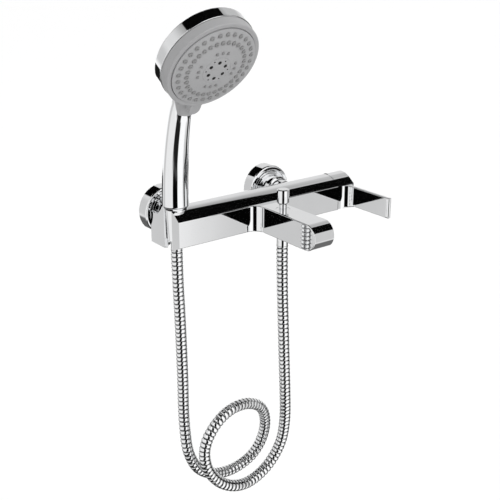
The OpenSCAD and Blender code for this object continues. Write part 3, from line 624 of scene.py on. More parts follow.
@dataclass
class Studio:
    """Pale floor, soft light from all round, and the cards that the chrome mirrors."""

    floor_z: float = -900.0
    floor_half: float = 40000.0
    light: float = 1.3
    light_pull: float = 0.8
    light_from: Point = (0.6, -0.69, -0.4)
    mirror_white: float = 1.12
    cards: tuple[StudioCard, ...] = (
        StudioCard(-24, 33, -34, 60, 0.65, 5.0),
        StudioCard(88, 90, 2, 75, 0.78, 6.0),
        StudioCard(90, 85, 42, 75, 0.42, 13.0),
        StudioCard(27, 9, 12, 44, 0.55, 5.0),
        StudioCard(170, 44, -30, 14, 0.92, 8.0),
        StudioCard(128, 12, -32, 22, 0.64, 6.0),
        StudioCard(42, 84, -95, -38, 0.16, 7.0),
        StudioCard(161, 72, -95, -36, 0.03, 5.0),
        StudioCard(97, 24, -45, -25, 0.13, 3.0),
        StudioCard(0, 181, 53.5, 95, 0.001, 0.8),
        StudioCard(-25.5, 27.5, 24, 60, 0.001),
        StudioCard(-5, 7, 40, 46.5, 0.5, 1.5),
        StudioCard(-22, 14, 2, 30, 0.01, 4.0),
        StudioCard(95, 23, 28, 60, 0.001),
        StudioCard(-125, 20.5, -25, 60, 0.001, 2.5),
        StudioCard(-133, 23, -36, -23, 0.014, 2.5),
        StudioCard(-143, 26, -75, -33, 0.014, 4.0),
        StudioCard(93, 16, -22, -14, 0.01),
        StudioCard(-16, 18, -42, 2, 0.02, 4.0))

    def build(self) -> None:
        """Make the floor and the light."""
        self.floor()
        self.world()

    def floor(self) -> None:
        """Lay the floor, which the chrome doesn't mirror."""
        h, z = self.floor_half, self.floor_z
        made = mesh_object("floor", [(-h, -h, z), (h, -h, z), (h, h, z), (-h, h, z)], [(0, 1, 2, 3)])
        made.data.materials.append(FLOOR.material())
        made.visible_glossy = False

    def card_group(self) -> bpy.types.ShaderNodeTree:
        """Build the group that tells how much of a direction lies on a card.

        Returns:
            The shader node group.
        """
        tree = shader_group(
            "studio_card",
            [(label, "NodeSocketFloat", 0.0) for label in
             ("Azimuth", "Height", "Middle", "Half Width", "Low", "High", "Soft")],
            [("Mask", "NodeSocketFloat")])
        given = tree.nodes["in"].outputs
        off = math_node(tree, "SUBTRACT", given["Azimuth"], given["Middle"])
        turn = math_node(tree, "ABSOLUTE", math_node(tree, "WRAP", off, math.pi, -math.pi))
        masks = []
        for value, edge, sign in ((turn, given["Half Width"], -1), (given["Height"], given["Low"], 1),
                                  (given["Height"], given["High"], -1)):
            ramp = add_node(tree, "ShaderNodeMapRange", Value=value,
                            From_Min=math_node(tree, "MULTIPLY_ADD", given["Soft"], -sign, edge),
                            From_Max=math_node(tree, "MULTIPLY_ADD", given["Soft"], sign, edge))
            ramp.interpolation_type = "SMOOTHSTEP"
            masks.append(ramp.outputs["Result"])
        both = math_node(tree, "MULTIPLY", masks[0], masks[1])
        tree.links.new(math_node(tree, "MULTIPLY", both, masks[2]), tree.nodes["out"].inputs["Mask"])
        return tree

    def world(self) -> None:
        """Light the object softly from all round, and let polished surfaces mirror the cards."""
        sky = bpy.data.worlds.new("studio")
        sky.use_nodes = True
        tree = sky.node_tree
        tree.nodes.clear()
        toward = tree.nodes.new("ShaderNodeTexCoord").outputs["Generated"]
        apart = add_node(tree, "ShaderNodeSeparateXYZ", Vector=toward).outputs
        azimuth = math_node(tree, "ARCTAN2", apart["Y"], apart["X"])
        height = math_node(tree, "ARCSINE", apart["Z"])
        level: object = self.mirror_white
        group = self.card_group()
        for card in self.cards:
            mask = place_group(
                tree, group, Azimuth=azimuth, Height=height, Middle=math.radians(card.azimuth),
                Half_Width=math.radians(card.half_width), Low=math.radians(card.low),
                High=math.radians(card.high), Soft=math.radians(card.soft)).outputs["Mask"]
            rest = math_node(tree, "MULTIPLY", math_node(tree, "SUBTRACT", 1.0, mask), level)
            level = math_node(tree, "MULTIPLY_ADD", mask, card.level, rest)
        pull = tree.nodes.new("ShaderNodeVectorMath")
        pull.operation = "DOT_PRODUCT"
        tree.links.new(toward, pull.inputs[0])
        pull.inputs[1].default_value = self.light_from
        soft = math_node(tree, "MULTIPLY_ADD", pull.outputs["Value"], self.light_pull, self.light)
        shades = [add_node(tree, "ShaderNodeBackground", Color=(1.0, 1.0, 1.0), Strength=strength)
                  for strength in (soft, level)]
        pick = tree.nodes.new("ShaderNodeMixShader")
        glossy = tree.nodes.new("ShaderNodeLightPath").outputs["Is Glossy Ray"]
        for socket, value in zip(pick.inputs, (glossy, *(shade.outputs["Background"] for shade in shades))):
            connect(tree, socket, value)
        add_node(tree, "ShaderNodeOutputWorld", Surface=pick.outputs["Shader"])
        bpy.context.scene.world = sky
        bpy.context.scene.view_settings.view_transform = "Standard"


def geometry_tree(name: str, source: str, inputs: Sequence[tuple[str, str]],
                  result: str) -> bpy.types.GeometryNodeTree:
    """Start a geometry node tree with named sockets.

    Args:
        name: Name of the tree.
        source: Name of the geometry that comes in.
        inputs: Name and socket type of each other input.
        result: Name of the geometry that goes out.

    Returns:
        The new tree.
    """
    tree = bpy.data.node_groups.new(name, "GeometryNodeTree")
    tree.interface.new_socket(source, in_out="INPUT", socket_type="NodeSocketGeometry")
    for label, kind in inputs:
        tree.interface.new_socket(label, in_out="INPUT", socket_type=kind)
    tree.interface.new_socket(result, in_out="OUTPUT", socket_type="NodeSocketGeometry")
    return tree


def close_tree(tree: bpy.types.GeometryNodeTree, shape: bpy.types.NodeSocket,
               finish: bpy.types.NodeSocket) -> None:
    """End a geometry node tree: make its instances real, shade them smooth and set their material.

    Args:
        tree: The tree.
        shape: Socket with the geometry.
        finish: Socket with the material.
    """
    whole = add_node(tree, "GeometryNodeRealizeInstances", Geometry=shape)
    smooth = add_node(tree, "GeometryNodeSetShadeSmooth", Geometry=whole.outputs["Geometry"])
    paint = add_node(tree, "GeometryNodeSetMaterial", Geometry=smooth.outputs["Geometry"], Material=finish)
    out = tree.nodes.new("NodeGroupOutput")
    tree.links.new(paint.outputs["Geometry"], out.inputs[0])


@dataclass
class ShowerHose:
    """Ribbed hose between the hand shower and the outlet under the spout."""

    diameter: float = 14.0
    groove: float = 0.9
    ribs: int = 190
    rib_rings: int = 14
    steps: int = 8
    sides: int = 24
    valley_power: float = 4.0
    length: float = 999.9
    blend_from: Point = (12.0, 0.0, 0.0)
    blend_to: Point = (-75.0, 0.0, 0.0)
    route: tuple[Point, ...] = (
        (-87.5, -53, -34), (-87.5, -53, -48), (-87, -53, -80), (-86, -53, -110), (-85, -53, -155),
        (-85, -54, -200), (-87, -57, -238), (-90, -64, -265), (-90, -70, -289), (-81, -74, -312),
        (-63, -74, -328), (-42, -73, -336), (-19, -74, -335), (1, -77, -324), (14, -80, -304),
        (17, -83, -278), (7, -87, -254), (-15, -91, -239), (-40, -94, -235), (-60, -95, -242),
        (-75, -95, -257), (-83, -95, -276), (-83, -97, -296), (-76, -99, -313), (-64, -102, -327),
        (-46, -104, -337), (-25, -103, -341), (-3, -103, -334), (15, -104, -318), (25, -107, -294),
        (27, -110, -264), (25, -112, -229), (24, -111, -190), (23.5, -109, -144), (23.5, -106, -94),
        (23.4, -105, -52), (23.4, -105, -38))

    def centre_line(self) -> np.ndarray:
        """Draw the smooth centre line through the route.

        Returns:
            Its points in millimetres.
        """
        p = np.array(self.route, float)
        ends = np.vstack([p[:1], p, p[-1:]])
        line = []
        for i in range(len(p) - 1):
            a, b, c, d = ends[i:i + 4]
            for t in np.arange(self.steps) / self.steps:
                line.append(0.5 * (2 * b + (c - a) * t + (2 * a - 5 * b + 4 * c - d) * t * t
                                   + (3 * b - a - 3 * c + d) * t ** 3))
        return np.vstack([line, p[-1:]])

    def rib_tree(self) -> bpy.types.GeometryNodeTree:
        """Build the tree that sweeps a ribbed tube along a line.

        Returns:
            The geometry node tree.
        """
        tree = geometry_tree("ribbed_tube", "Line", [
            ("Radius", "NodeSocketFloat"), ("Groove", "NodeSocketFloat"), ("Ribs", "NodeSocketInt"),
            ("Rings", "NodeSocketInt"), ("Sides", "NodeSocketInt"), ("Cover", "NodeSocketMaterial")], "Tube")
        given = tree.nodes.new("NodeGroupInput").outputs
        line = add_node(tree, "GeometryNodeMeshToCurve", Mesh=given["Line"])
        even = add_node(tree, "GeometryNodeResampleCurve", Curve=line.outputs["Curve"], Count=given["Rings"])
        along = tree.nodes.new("GeometryNodeSplineParameter").outputs["Factor"]
        phase = math_node(tree, "MULTIPLY", math_node(tree, "MULTIPLY", along, given["Ribs"]), 2 * math.pi)
        deep = math_node(tree, "MULTIPLY_ADD", math_node(tree, "COSINE", phase), -0.5, 0.5)
        valley = math_node(tree, "POWER", deep, self.valley_power)
        # The groove value shapes the ribs and also drives the painted shade in the hose's material
        keep = add_node(tree, "GeometryNodeStoreNamedAttribute", Geometry=even.outputs["Curve"],
                        Name="groove", Value=valley)
        ring = add_node(tree, "GeometryNodeCurvePrimitiveCircle", Radius=1.0, Resolution=given["Sides"])
        cut = math_node(tree, "MULTIPLY", valley, given["Groove"])
        sweep = add_node(tree, "GeometryNodeCurveToMesh", Curve=keep.outputs["Geometry"],
                         Profile_Curve=ring.outputs["Curve"], Fill_Caps=True,
                         Scale=math_node(tree, "SUBTRACT", given["Radius"], cut))
        close_tree(tree, sweep.outputs["Mesh"], given["Cover"])
        return tree

    def build(self) -> bpy.types.Object:
        """Returns:
            The hose's object.
        """
        line = self.centre_line()
        mesh = bpy.data.meshes.new("hose")
        mesh.from_pydata([tuple(q * MM) for q in line], [(i, i + 1) for i in range(len(line) - 1)], [])
        hose = bpy.data.objects.new("hose", mesh)
        bpy.context.scene.collection.objects.link(hose)
        set_tree(hose, self.rib_tree(), {
            "Radius": self.diameter / 2 * MM, "Groove": self.groove * MM, "Ribs": self.ribs,
            "Rings": self.ribs * self.rib_rings + 1, "Sides": self.sides, "Cover": HOSE_STEEL.material()})
        baked(hose)
        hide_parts("shower_hose")
        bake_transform(hose)
        LOG.info("hose: %d faces", len(hose.data.polygons))
        return hose


def set_tree(target: bpy.types.Object, tree: bpy.types.GeometryNodeTree, values: dict[str, object]) -> None:
    """Give an object a geometry node tree and set the tree's inputs by their identifiers.

    Args:
        target: Object that takes the modifier.
        tree: The tree.
        values: Value of each input by its name.
    """
    modifier = target.modifiers.new(tree.name, "NODES")
    modifier.node_group = tree
    for item in tree.interface.items_tree:
        if item.in_out == "INPUT" and item.name in values:
            modifier[item.identifier] = values[item.name]


@dataclass
class HandShower:
    """Hand shower: plated shell, grey selector, spray plate and rubber nozzles."""

    foot: Point = (-87.5, -53.0, 18.4)
    bend: float = 386.0
    knee_z: float = 118.0
    neck_bend: float = 80.0
    neck_turn: float = 62.0
    foot_r: float = 15.1
    foot_past: float = 40.0
    neck_r: float = 10.5
    taper: float = 1.7
    face: Point = (-87.5, -130.5, 180.5)
    tilt: float = 33.3
    rim_r: float = 53.0
    rim_front: float = -10.8
    rim_back: float = -22.8
    rim_past: float = 6.0
    back_bulge: float = 9.0
    chamber_r: float = 50.6
    chamber_back: float = -19.6
    fillet: float = 13.0
    tight_fillet: float = 0.6
    tight_depth: float = 2.5
    fillet_run: float = 9.0
    head_low: float = -64.0
    cut_low: float = -66.0
    cut_slack: float = 0.001
    plain_rim: float = 1.0
    plain_back: float = 0.5
    plain_foot: float = 1.3
    weld: float = 0.02
    saddle_drop: float = 4.0
    lip_cut: float = 0.7
    lip_steps: tuple[tuple[float, float], ...] = ((0.12, -0.25), (0.35, -0.06), (0.7, 0.0))
    foot_cut: float = 1.0
    foot_steps: tuple[tuple[float, float], ...] = ((0.13, 0.5), (0.5, 0.13), (1.0, 0.0))
    spigot_r: float = 10.475
    spigot_end: float = 5.4
    cell: float = 1.25
    net_low: Point = (-147.5, -160.0, 10.4)
    net_high: Point = (-27.5, -30.0, 245.0)
    plate_r: float = 46.6
    plate_rise: float = 1.1
    plate_bulge: float = 5.6
    ring_count: int = 30
    nozzle_rings: tuple[tuple[float, float], ...] = ((41.0, 6.0), (32.5, 0.0))
    groups: int = 4
    group_r: float = 21.2
    group_turn: float = 18.0
    nozzle_r: float = 2.3
    small_share: float = 0.65
    nozzle_rise: float = 1.4
    nozzle_sides: int = 14
    nozzle_root: float = 1.35
    nozzle_seat: float = 0.075
    nozzle_steps: tuple[tuple[float, float], ...] = (
        (0.0, 0.92), (0.2, 0.88), (0.06, 0.78), (-0.08, 0.45), (-0.6, 0.8))
    nozzle_crease: float = 50.0
    jet_lip: float = 0.35
    grip_edge: float = 0.6

    def axes(self) -> np.ndarray:
        """Return the spray face's axes as rows: sideways, up the face and along the spray."""
        t = math.radians(self.tilt)
        return np.array([(1, 0, 0), (0, -math.sin(t), math.cos(t)), (0, -math.cos(t), -math.sin(t))])

    def to_local(self, p: np.ndarray) -> np.ndarray:
        """Turn points into the spray face's frame.

        Args:
            p: Points in the part's frame.

        Returns:
            Points with Z along the spray direction and Y up the face.
        """
        return (p - np.array(self.face)) @ self.axes().T

    def to_part(self, q: np.ndarray) -> np.ndarray:
        """Turn points of the spray face's frame into the part's frame.

        Args:
            q: Points in the face's frame.

        Returns:
            Points in the part's frame.
        """
        return np.array(self.face) + q @ self.axes()

    def neck_distance(self, p: np.ndarray) -> np.ndarray:
        """Measure from the bent, tapering handle.

        Args:
            p: Points in the part's frame.

        Returns:
            Each point's distance, below zero inside.
        """
        turn = math.asin((self.knee_z - self.foot[2]) / self.bend)
        end = math.radians(self.neck_turn)
        long = self.bend * turn
        total = long + self.neck_bend * (end - turn)
        x = p[..., 0] - self.foot[0]
        low = np.array([self.foot[1] - self.bend, self.foot[2]])
        high = low + (self.bend - self.neck_bend) * np.array([math.cos(turn), math.sin(turn)])
        flat = p[..., 1:]
        knee = low + self.bend * np.array([math.cos(turn), math.sin(turn)])
        past = (flat - knee) @ np.array([-math.sin(turn), math.cos(turn)])
        result = np.empty(p.shape[:-1])
        for centre, radius, first, last, chosen in ((low, self.bend, 0.0, turn, past < 0),
                                                    (high, self.neck_bend, turn, end, past >= 0)):
            d = flat[chosen] - centre
            a = np.arctan2(d[:, 1], d[:, 0])
            held = np.clip(a, first - self.foot_past / radius, last)
            near = centre + radius * np.stack([np.cos(held), np.sin(held)], axis=-1)
            run = radius * (held - first) + (0.0 if first == 0.0 else long)
            share = np.clip(run / total, 0, 1)
            size = self.foot_r - (self.foot_r - self.neck_r) * share ** self.taper
            gap = np.sqrt(x[chosen] ** 2 + ((flat[chosen] - near) ** 2).sum(-1))
            result[chosen] = gap - size
        return result

    def head_distance(self, p: np.ndarray) -> np.ndarray:
        """Measure from the head's rim and domed back.

        Args:
            p: Points in the part's frame.

        Returns:
            Each point's distance, below zero inside.
        """
        q = self.to_local(p)
        r = np.hypot(q[..., 0], q[..., 1])
        h = np.minimum(q[..., 2] - self.rim_back, 0.0)
        a, b = self.rim_r, self.back_bulge
        k1 = np.sqrt((r / a) ** 2 + (h / b) ** 2) + TINY
        k2 = np.sqrt((r / a ** 2) ** 2 + (h / b ** 2) ** 2) + TINY
        return np.where(h < 0, k1 * (k1 - 1) / k2, r - a)

    def shell_field(self, p: np.ndarray) -> np.ndarray:
        """Join the handle and the head by a soft fillet, which is tight at the rim.

        Args:
            p: Points in the part's frame.

        Returns:
            A field that is zero on the shell and below zero inside.
        """
        q = self.to_local(p)
        a, b = self.neck_distance(p), self.head_distance(p)
        t = np.clip((self.rim_front - self.tight_depth - q[..., 2]) / self.fillet_run, 0, 1)
        k = self.tight_fillet + (self.fillet - self.tight_fillet) * t * t * (3 - 2 * t)
        h = np.maximum(k - np.abs(a - b), 0) / k
        joined = np.minimum(a, b) - h * h * k / 4
        top = np.where(q[..., 1] > self.head_low, q[..., 2] - (self.rim_front + self.rim_past), -FAR)
        return np.maximum(joined, top)

    def shell(self) -> bpy.types.Object:
        """Make the plated shell with its smooth neck, its rim and its threaded foot.

        Returns:
            The shell's object.
        """
        low, high = np.array(self.net_low), np.array(self.net_high)
        points, quads = surface_net(self.shell_field, low, high, self.cell)
        shell = mesh_object("handset_shell_plated", points, quads)
        work = bmesh.new()
        work.from_mesh(shell.data)
        self.cut_rim(work)
        self.cut_foot(work)
        work.to_mesh(shell.data)
        work.free()
        smooth_by_field(shell, self.shell_field, self.is_plain)
        return finish_piece(shell, PLATED, Body.HANDSET, "handset_shell")

    def is_plain(self, p: np.ndarray) -> np.ndarray:
        """Tell which points lie on the shell's free skin, away from its rim and its foot.

        Args:
            p: Points in the part's frame.

        Returns:
            True for each point on the free skin.
        """
        q = self.to_local(p)
        r = np.hypot(q[:, 0], q[:, 1])
        at_rim = (q[:, 1] > self.cut_low) & (q[:, 2] > self.rim_front - self.plain_rim)
        inside = (r < self.rim_r - self.plain_rim) & (q[:, 2] > self.chamber_back - self.plain_back)
        return ~(at_rim | inside | (p[:, 2] < self.foot[2] + self.plain_foot))

    def cut_rim(self, work: bmesh.types.BMesh) -> None:
        """Cut the head open at its rim and line it with a rounded lip and a chamber.

        Args:
            work: Mesh of the shell, in metres.
        """
        out = Vector(self.axes()[2])
        level = self.rim_front - self.lip_cut
        faces = [f for f in work.faces if all(self.spot(v.co)[1] > self.cut_low for v in f.verts)]
        geom = list({v for f in faces for v in f.verts} | {e for f in faces for e in f.edges}) + faces
        at = (Vector(self.face) + out * level) * MM
        bmesh.ops.bisect_plane(work, geom=geom, dist=ON_PLANE, plane_co=at, plane_no=out, clear_outer=False)
        bmesh.ops.remove_doubles(work, verts=work.verts, dist=self.weld * MM)
        middles = [(f, self.spot(f.calc_center_median())) for f in work.faces]
        doomed = [f for f, q in middles if q[1] > self.cut_low and q[2] > level + self.cut_slack]
        bmesh.ops.delete(work, geom=doomed, context="FACES")
        past = self.cut_low - self.cell * 2
        loop = [e for e in work.edges if e.is_boundary and self.spot(e.verts[0].co)[1] > past]
        for inset, rise in self.lip_steps:
            loop = extrude_loop(work, loop, partial(self.lip_point, inset=inset, rise=rise))
        for back in (False, True):
            loop = extrude_loop(work, loop, partial(self.chamber_point, back=back))
        bmesh.ops.contextual_create(work, geom=loop)

    def spot(self, co: Vector) -> np.ndarray:
        """Return a place of the mesh in the spray face's frame, in millimetres."""
        return self.to_local(np.array(co) / MM)

    def lip_height(self, r: float) -> float:
        """Give the height of the lip at a radius: lower where the neck passes under the grey saddle.

        Args:
            r: Radius from the middle of the spray face.

        Returns:
            The height in the face's frame.
        """
        return self.rim_front - (self.saddle_drop if r > self.rim_r + self.cell else 0.0)

    def lip_point(self, p: np.ndarray, inset: float, rise: float) -> np.ndarray:
        """Move a point of the rim inwards along the rounded lip.

        Args:
            p: Point in millimetres.
            inset: Step towards the middle.
            rise: Height above the lip.

        Returns:
            The moved point.
        """
        q = self.to_local(p)
        r = math.hypot(q[0], q[1])
        return self.polar_point(q, r - inset, self.lip_height(r) + rise)

    def chamber_point(self, p: np.ndarray, back: bool) -> np.ndarray:
        """Move a point of the lip to the chamber's wall.

        Args:
            p: Point in millimetres.
            back: Move it to the back of the chamber instead of its front.

        Returns:
            The moved point.
        """
        q = self.to_local(p)
        height = self.chamber_back if back else self.lip_height(math.hypot(q[0], q[1]))
        return self.polar_point(q, self.chamber_r, height)

    def polar_point(self, q: np.ndarray, r: float, z: float) -> np.ndarray:
        """Place a point at a radius and a height, in its old direction from the middle.

        Args:
            q: Old point in the face's frame.
            r: New radius.
            z: New height.

        Returns:
            The new point in the part's frame.
        """
        old = math.hypot(q[0], q[1])
        return self.to_part(np.array([q[0] / old * r, q[1] / old * r, z]))

    def cut_foot(self, work: bmesh.types.BMesh) -> None:
        """Cut the handle square at its foot, round its edge and add the threaded spigot.

        Args:
            work: Mesh of the shell, in metres.
        """
        x, y, z = self.foot
        geom = list(work.verts) + list(work.edges) + list(work.faces)
        at = Vector((x, y, z + self.foot_cut)) * MM
        cut = bmesh.ops.bisect_plane(work, geom=geom, dist=ON_PLANE, plane_co=at, plane_no=(0, 0, -1),
                                     clear_outer=True)
        loop = [g for g in cut["geom_cut"] if isinstance(g, bmesh.types.BMEdge) and g.is_boundary]
        shoulder = self.foot_r - self.spigot_r
        for inset, rise in (*self.foot_steps, (shoulder, 0.0), (shoulder, self.spigot_end - z)):
            loop = extrude_loop(work, loop, partial(self.foot_point, inset=inset, rise=rise))
        bmesh.ops.contextual_create(work, geom=loop)

    def foot_point(self, p: np.ndarray, inset: float, rise: float) -> np.ndarray:
        """Move a point of the foot's edge to a new radius and height.

        Args:
            p: Point in millimetres.
            inset: Distance inside the handle's radius.
            rise: Height above the foot.

        Returns:
            The moved point.
        """
        x, y, z = self.foot
        d = np.array([p[0] - x, p[1] - y])
        d = d / np.linalg.norm(d) * (self.foot_r - inset)
        return np.array([x + d[0], y + d[1], z + rise])

    def plate_height(self, r: float) -> float:
        """Return the height of the bulging spray plate at a radius from its middle."""
        sphere = (self.plate_r ** 2 + self.plate_bulge ** 2) / (2 * self.plate_bulge)
        return self.plate_rise + self.plate_bulge - sphere + math.sqrt(sphere ** 2 - r ** 2)

    def nozzle_places(self) -> tuple[list[Point], list[float]]:
        """Work out where the nozzles stand on the spray plate.

        Returns:
            Their places in the part's frame, and each one's share of the full width.
        """
        polar = [(r, turn + 360 * k / self.ring_count, 1.0) for r, turn in self.nozzle_rings
                 for k in range(self.ring_count)]
        polar += [(self.group_r, 360 * k / self.groups + self.group_turn * j, self.small_share)
                  for k in range(self.groups) for j in (-1, 0, 1)]
        flat = [(r * math.cos(math.radians(a)), r * math.sin(math.radians(a)), self.plate_height(r))
                for r, a, _ in polar]
        return [tuple(q) for q in self.to_part(np.array(flat))], [size for _, _, size in polar]

    def nozzle_tree(self) -> bpy.types.GeometryNodeTree:
        """Build the tree that puts a tapered nozzle with a rounded, pierced tip on each point.

        Returns:
            The geometry node tree.
        """
        tree = geometry_tree("nozzles", "Places", [
            ("Foot Radius", "NodeSocketFloat"), ("Rise", "NodeSocketFloat"), ("Tilt", "NodeSocketFloat"),
            ("Sides", "NodeSocketInt"), ("Rubber", "NodeSocketMaterial")], "Nozzles")
        given = tree.nodes.new("NodeGroupInput").outputs
        stub = add_node(tree, "GeometryNodeMeshCylinder", Vertices=given["Sides"],
                        Radius=given["Foot Radius"],
                        Depth=math_node(tree, "MULTIPLY", given["Rise"], self.nozzle_root))
        shape, top = stub.outputs["Mesh"], stub.outputs["Top"]
        for rise, share in self.nozzle_steps:
            if rise:
                push = add_node(tree, "GeometryNodeExtrudeMesh", Mesh=shape, Selection=top, Individual=False,
                                Offset_Scale=math_node(tree, "MULTIPLY", given["Rise"], rise))
                shape, top = push.outputs["Mesh"], push.outputs["Top"]
            size = add_node(tree, "GeometryNodeScaleElements", Geometry=shape, Selection=top, Scale=share)
            shape = size.outputs["Geometry"]
        lift = add_node(tree, "ShaderNodeCombineXYZ",
                        Z=math_node(tree, "MULTIPLY", given["Rise"], self.nozzle_seat))
        seat = add_node(tree, "GeometryNodeTransform", Geometry=shape, Translation=lift.outputs["Vector"])
        turn = add_node(tree, "ShaderNodeCombineXYZ", X=given["Tilt"])
        share = add_node(tree, "GeometryNodeInputNamedAttribute", Name="size").outputs["Attribute"]
        width = add_node(tree, "ShaderNodeCombineXYZ", X=share, Y=share, Z=1.0)
        spread = add_node(tree, "GeometryNodeInstanceOnPoints", Points=given["Places"],
                          Instance=seat.outputs["Geometry"], Rotation=turn.outputs["Vector"],
                          Scale=width.outputs["Vector"])
        close_tree(tree, spread.outputs["Instances"], given["Rubber"])
        return tree

    def nozzles(self) -> bpy.types.Object:
        """Make the rubber nozzles on the spray plate.

        Returns:
            The nozzles' object.
        """
        places, sizes = self.nozzle_places()
        made = mesh_object("nozzles", places, [])
        made.data.attributes.new("size", "FLOAT", "POINT").data.foreach_set("value", sizes)
        set_tree(made, self.nozzle_tree(), {
            "Foot Radius": self.nozzle_r * MM, "Rise": self.nozzle_rise * MM,
            "Tilt": math.radians(90 + self.tilt), "Sides": self.nozzle_sides, "Rubber": NOZZLE.material()})
        baked(made).data.shade_smooth()
        made.data.set_sharp_from_angle(angle=math.radians(self.nozzle_crease))
        return finish_piece(made, NOZZLE, Body.HANDSET, "nozzle_mat")

    def core(self) -> bpy.types.Object:
        """Make the spray's centre, with the walls of the jets sunk in it painted near black as shade.

        Returns:
            The centre's object.
        """
        made = refined("spray_core", "spray_centre", GREY, Body.HANDSET)
        made.data.materials.append(JET_SHADE.material())
        # Faces sunk deeper than jet_lip below the plate take the near-black painted shade
        for polygon in made.data.polygons:
            x, y, z = self.to_local(np.array(polygon.center) / MM)
            if z < self.plate_height(math.hypot(x, y)) - self.jet_lip:
                polygon.material_index = 1
        return made

    def build(self) -> None:
        """Make the hand shower's pieces."""
        self.shell()
        self.nozzles()
        refined("selector_ring", "selector_grip", GREY, Body.SELECTOR, self.grip_edge)
        refined("spray_plate", "spray_face", GREY, Body.HANDSET)
        self.core()
        refined("neck_insert", "neck_saddle", GREY, Body.HANDSET)
        dress(flow_limiter=INSERT, head_seal=RUBBER, face_screw=STEEL, selector_rotor=WHITE)


def extrude_loop(work: bmesh.types.BMesh, loop: list[bmesh.types.BMEdge],
                 move: Callable[[np.ndarray], np.ndarray]) -> list[bmesh.types.BMEdge]:
    """Extrude an edge loop and move the new points.

    Args:
        work: Mesh in metres.
        loop: Edges of the open loop.
        move: Gives the new place of a point, in millimetres.

    Returns:
        The new loop's edges.
    """
    made = bmesh.ops.extrude_edge_only(work, edges=loop)["geom"]
    for v in (g for g in made if isinstance(g, bmesh.types.BMVert)):
        v.co = Vector(move(np.array(v.co) / MM)) * MM
    return [g for g in made if isinstance(g, bmesh.types.BMEdge) and g.is_boundary]


def cells_below(cells: np.ndarray, steps: dict[int, int]) -> tuple[np.ndarray, ...]:
    """Find the cells that lie some steps lower.

    Args:
        cells: Numbers of the cells along the three axes.
        steps: Steps down along each axis that is moved on.

    Returns:
        The lower cells as an index.
    """
    lower = cells.copy()
    for axis, step in steps.items():
        lower[:, axis] -= step
    return tuple(lower.T)


def surface_net(field: Callable[[np.ndarray], np.ndarray], low: np.ndarray, high: np.ndarray,
                cell: float) -> tuple[np.ndarray, np.ndarray]:
    """Mesh the zero surface of a field with quads, and pull their corners onto it.

    Args:
        field: Gives the field at points in millimetres, below zero inside.
        low: Lowest corner of the space.
        high: Highest corner of the space.
        cell: Size of the mesh's cells.

    Returns:
        Points in millimetres, and the quads' corner numbers.
    """
    count = np.ceil((high - low) / cell).astype(int) + 1
    axes = [low[i] + cell * np.arange(count[i]) for i in range(3)]
    slices = [np.stack(np.meshgrid([x], axes[1], axes[2], indexing="ij"), -1)[0] for x in axes[0]]
    values = np.stack([field(points) for points in slices])
    inside = values < 0
    total = np.zeros((*(count - 1), 3))
    seen = np.zeros(count - 1)
    crossings = []
    for axis in range(3):
        first = [slice(None)] * 3
        second = [slice(None)] * 3
        first[axis], second[axis] = slice(0, -1), slice(1, None)
        change = np.argwhere(inside[tuple(first)] != inside[tuple(second)])
        others = [i for i in range(3) if i != axis]
        within = [(change[:, i] > 0) & (change[:, i] < count[i] - 1) for i in others]
        change = change[np.all(within, axis=0)]
        step = np.eye(3, dtype=int)[axis]
        a, b = values[tuple(change.T)], values[tuple((change + step).T)]
        place = low + cell * (change + (a / (a - b))[:, None] * step)
        crossings.append((axis, change, a < 0))
        for du, dv in ((0, 0), (0, 1), (1, 0), (1, 1)):
            around = cells_below(change, {others[0]: du, others[1]: dv})
            np.add.at(total, around, place)
            np.add.at(seen, around, 1)
    used = seen > 0
    number = np.full(seen.shape, -1)
    number[used] = np.arange(used.sum())
    points = total[used] / seen[used][:, None]
    quads = []
    for axis, change, leaving in crossings:
        u, v = [(1, 2), (2, 0), (0, 1)][axis]
        quad = np.stack([number[cells_below(change, {u: du, v: dv})]
                         for du, dv in ((0, 0), (1, 0), (1, 1), (0, 1))], axis=1)
        quad[~leaving] = quad[~leaving][:, ::-1]
        quads.append(quad)
    for _ in range(PULLS):
        points = points - field_step(field, points)
    return points, np.concatenate(quads)


def field_gradient(field: Callable[[np.ndarray], np.ndarray], points: np.ndarray) -> np.ndarray:
    """Measure a field's slope.

    Args:
        field: Gives the field at points in millimetres.
        points: Points in millimetres.

    Returns:
        The slope at each point, in field units per millimetre.
    """
    slopes = [(field(points + REACH * e) - field(points - REACH * e)) / (2 * REACH) for e in np.eye(3)]
    return np.stack(slopes, -1)


def field_step(field: Callable[[np.ndarray], np.ndarray], points: np.ndarray) -> np.ndarray:
    """Work out the way from a field's zero surface to points near it.

    Args:
        field: Gives the field at points in millimetres.
        points: Points in millimetres.

    Returns:
        The step from the surface to each point.
    """
    slope = field_gradient(field, points)
    size = np.maximum((slope ** 2).sum(-1), LEAST_SLOPE)
    return np.clip(field(points) / size, -LONGEST_PULL, LONGEST_PULL)[:, None] * slope


def smooth_by_field(piece: bpy.types.Object, field: Callable[[np.ndarray], np.ndarray],
                    plain: Callable[[np.ndarray], np.ndarray]) -> None:
    """Shade a piece by the slope of the field that it was made from.

    Args:
        piece: The piece.
        field: Field that it was made from.
        plain: Tells which points lie on the field's surface.
    """
    mesh = piece.data
    mesh.shade_smooth()
    points = np.array([v.co for v in mesh.vertices]) / MM
    normals = np.array([v.normal for v in mesh.vertices])
    slope = field_gradient(field, points)
    slope = slope / np.maximum(np.linalg.norm(slope, axis=1), TINY)[:, None]
    use = plain(points)
    normals[use] = slope[use]
    mesh.normals_split_custom_set_from_vertices([tuple(n) for n in normals])


@dataclass
class WallUnions:
    """Rosettes and union nuts on the wall, with the hidden pieces behind them."""

    soft_angle: float = 50.0

    def build(self) -> None:
        """Make the visible pieces and dress the hidden ones."""
        for side in ("left", "right"):
            for node, name in (("rosette", "rosette_plated"), ("union_nut", "nut_plated")):
                refined(f"{side}_{node}", f"{side}_{name}", CHROME, Body.MIXER, crease=self.soft_angle)
            dress(**{f"{side}_wall_union": BRASS, f"{side}_inlet_washer": RUBBER})


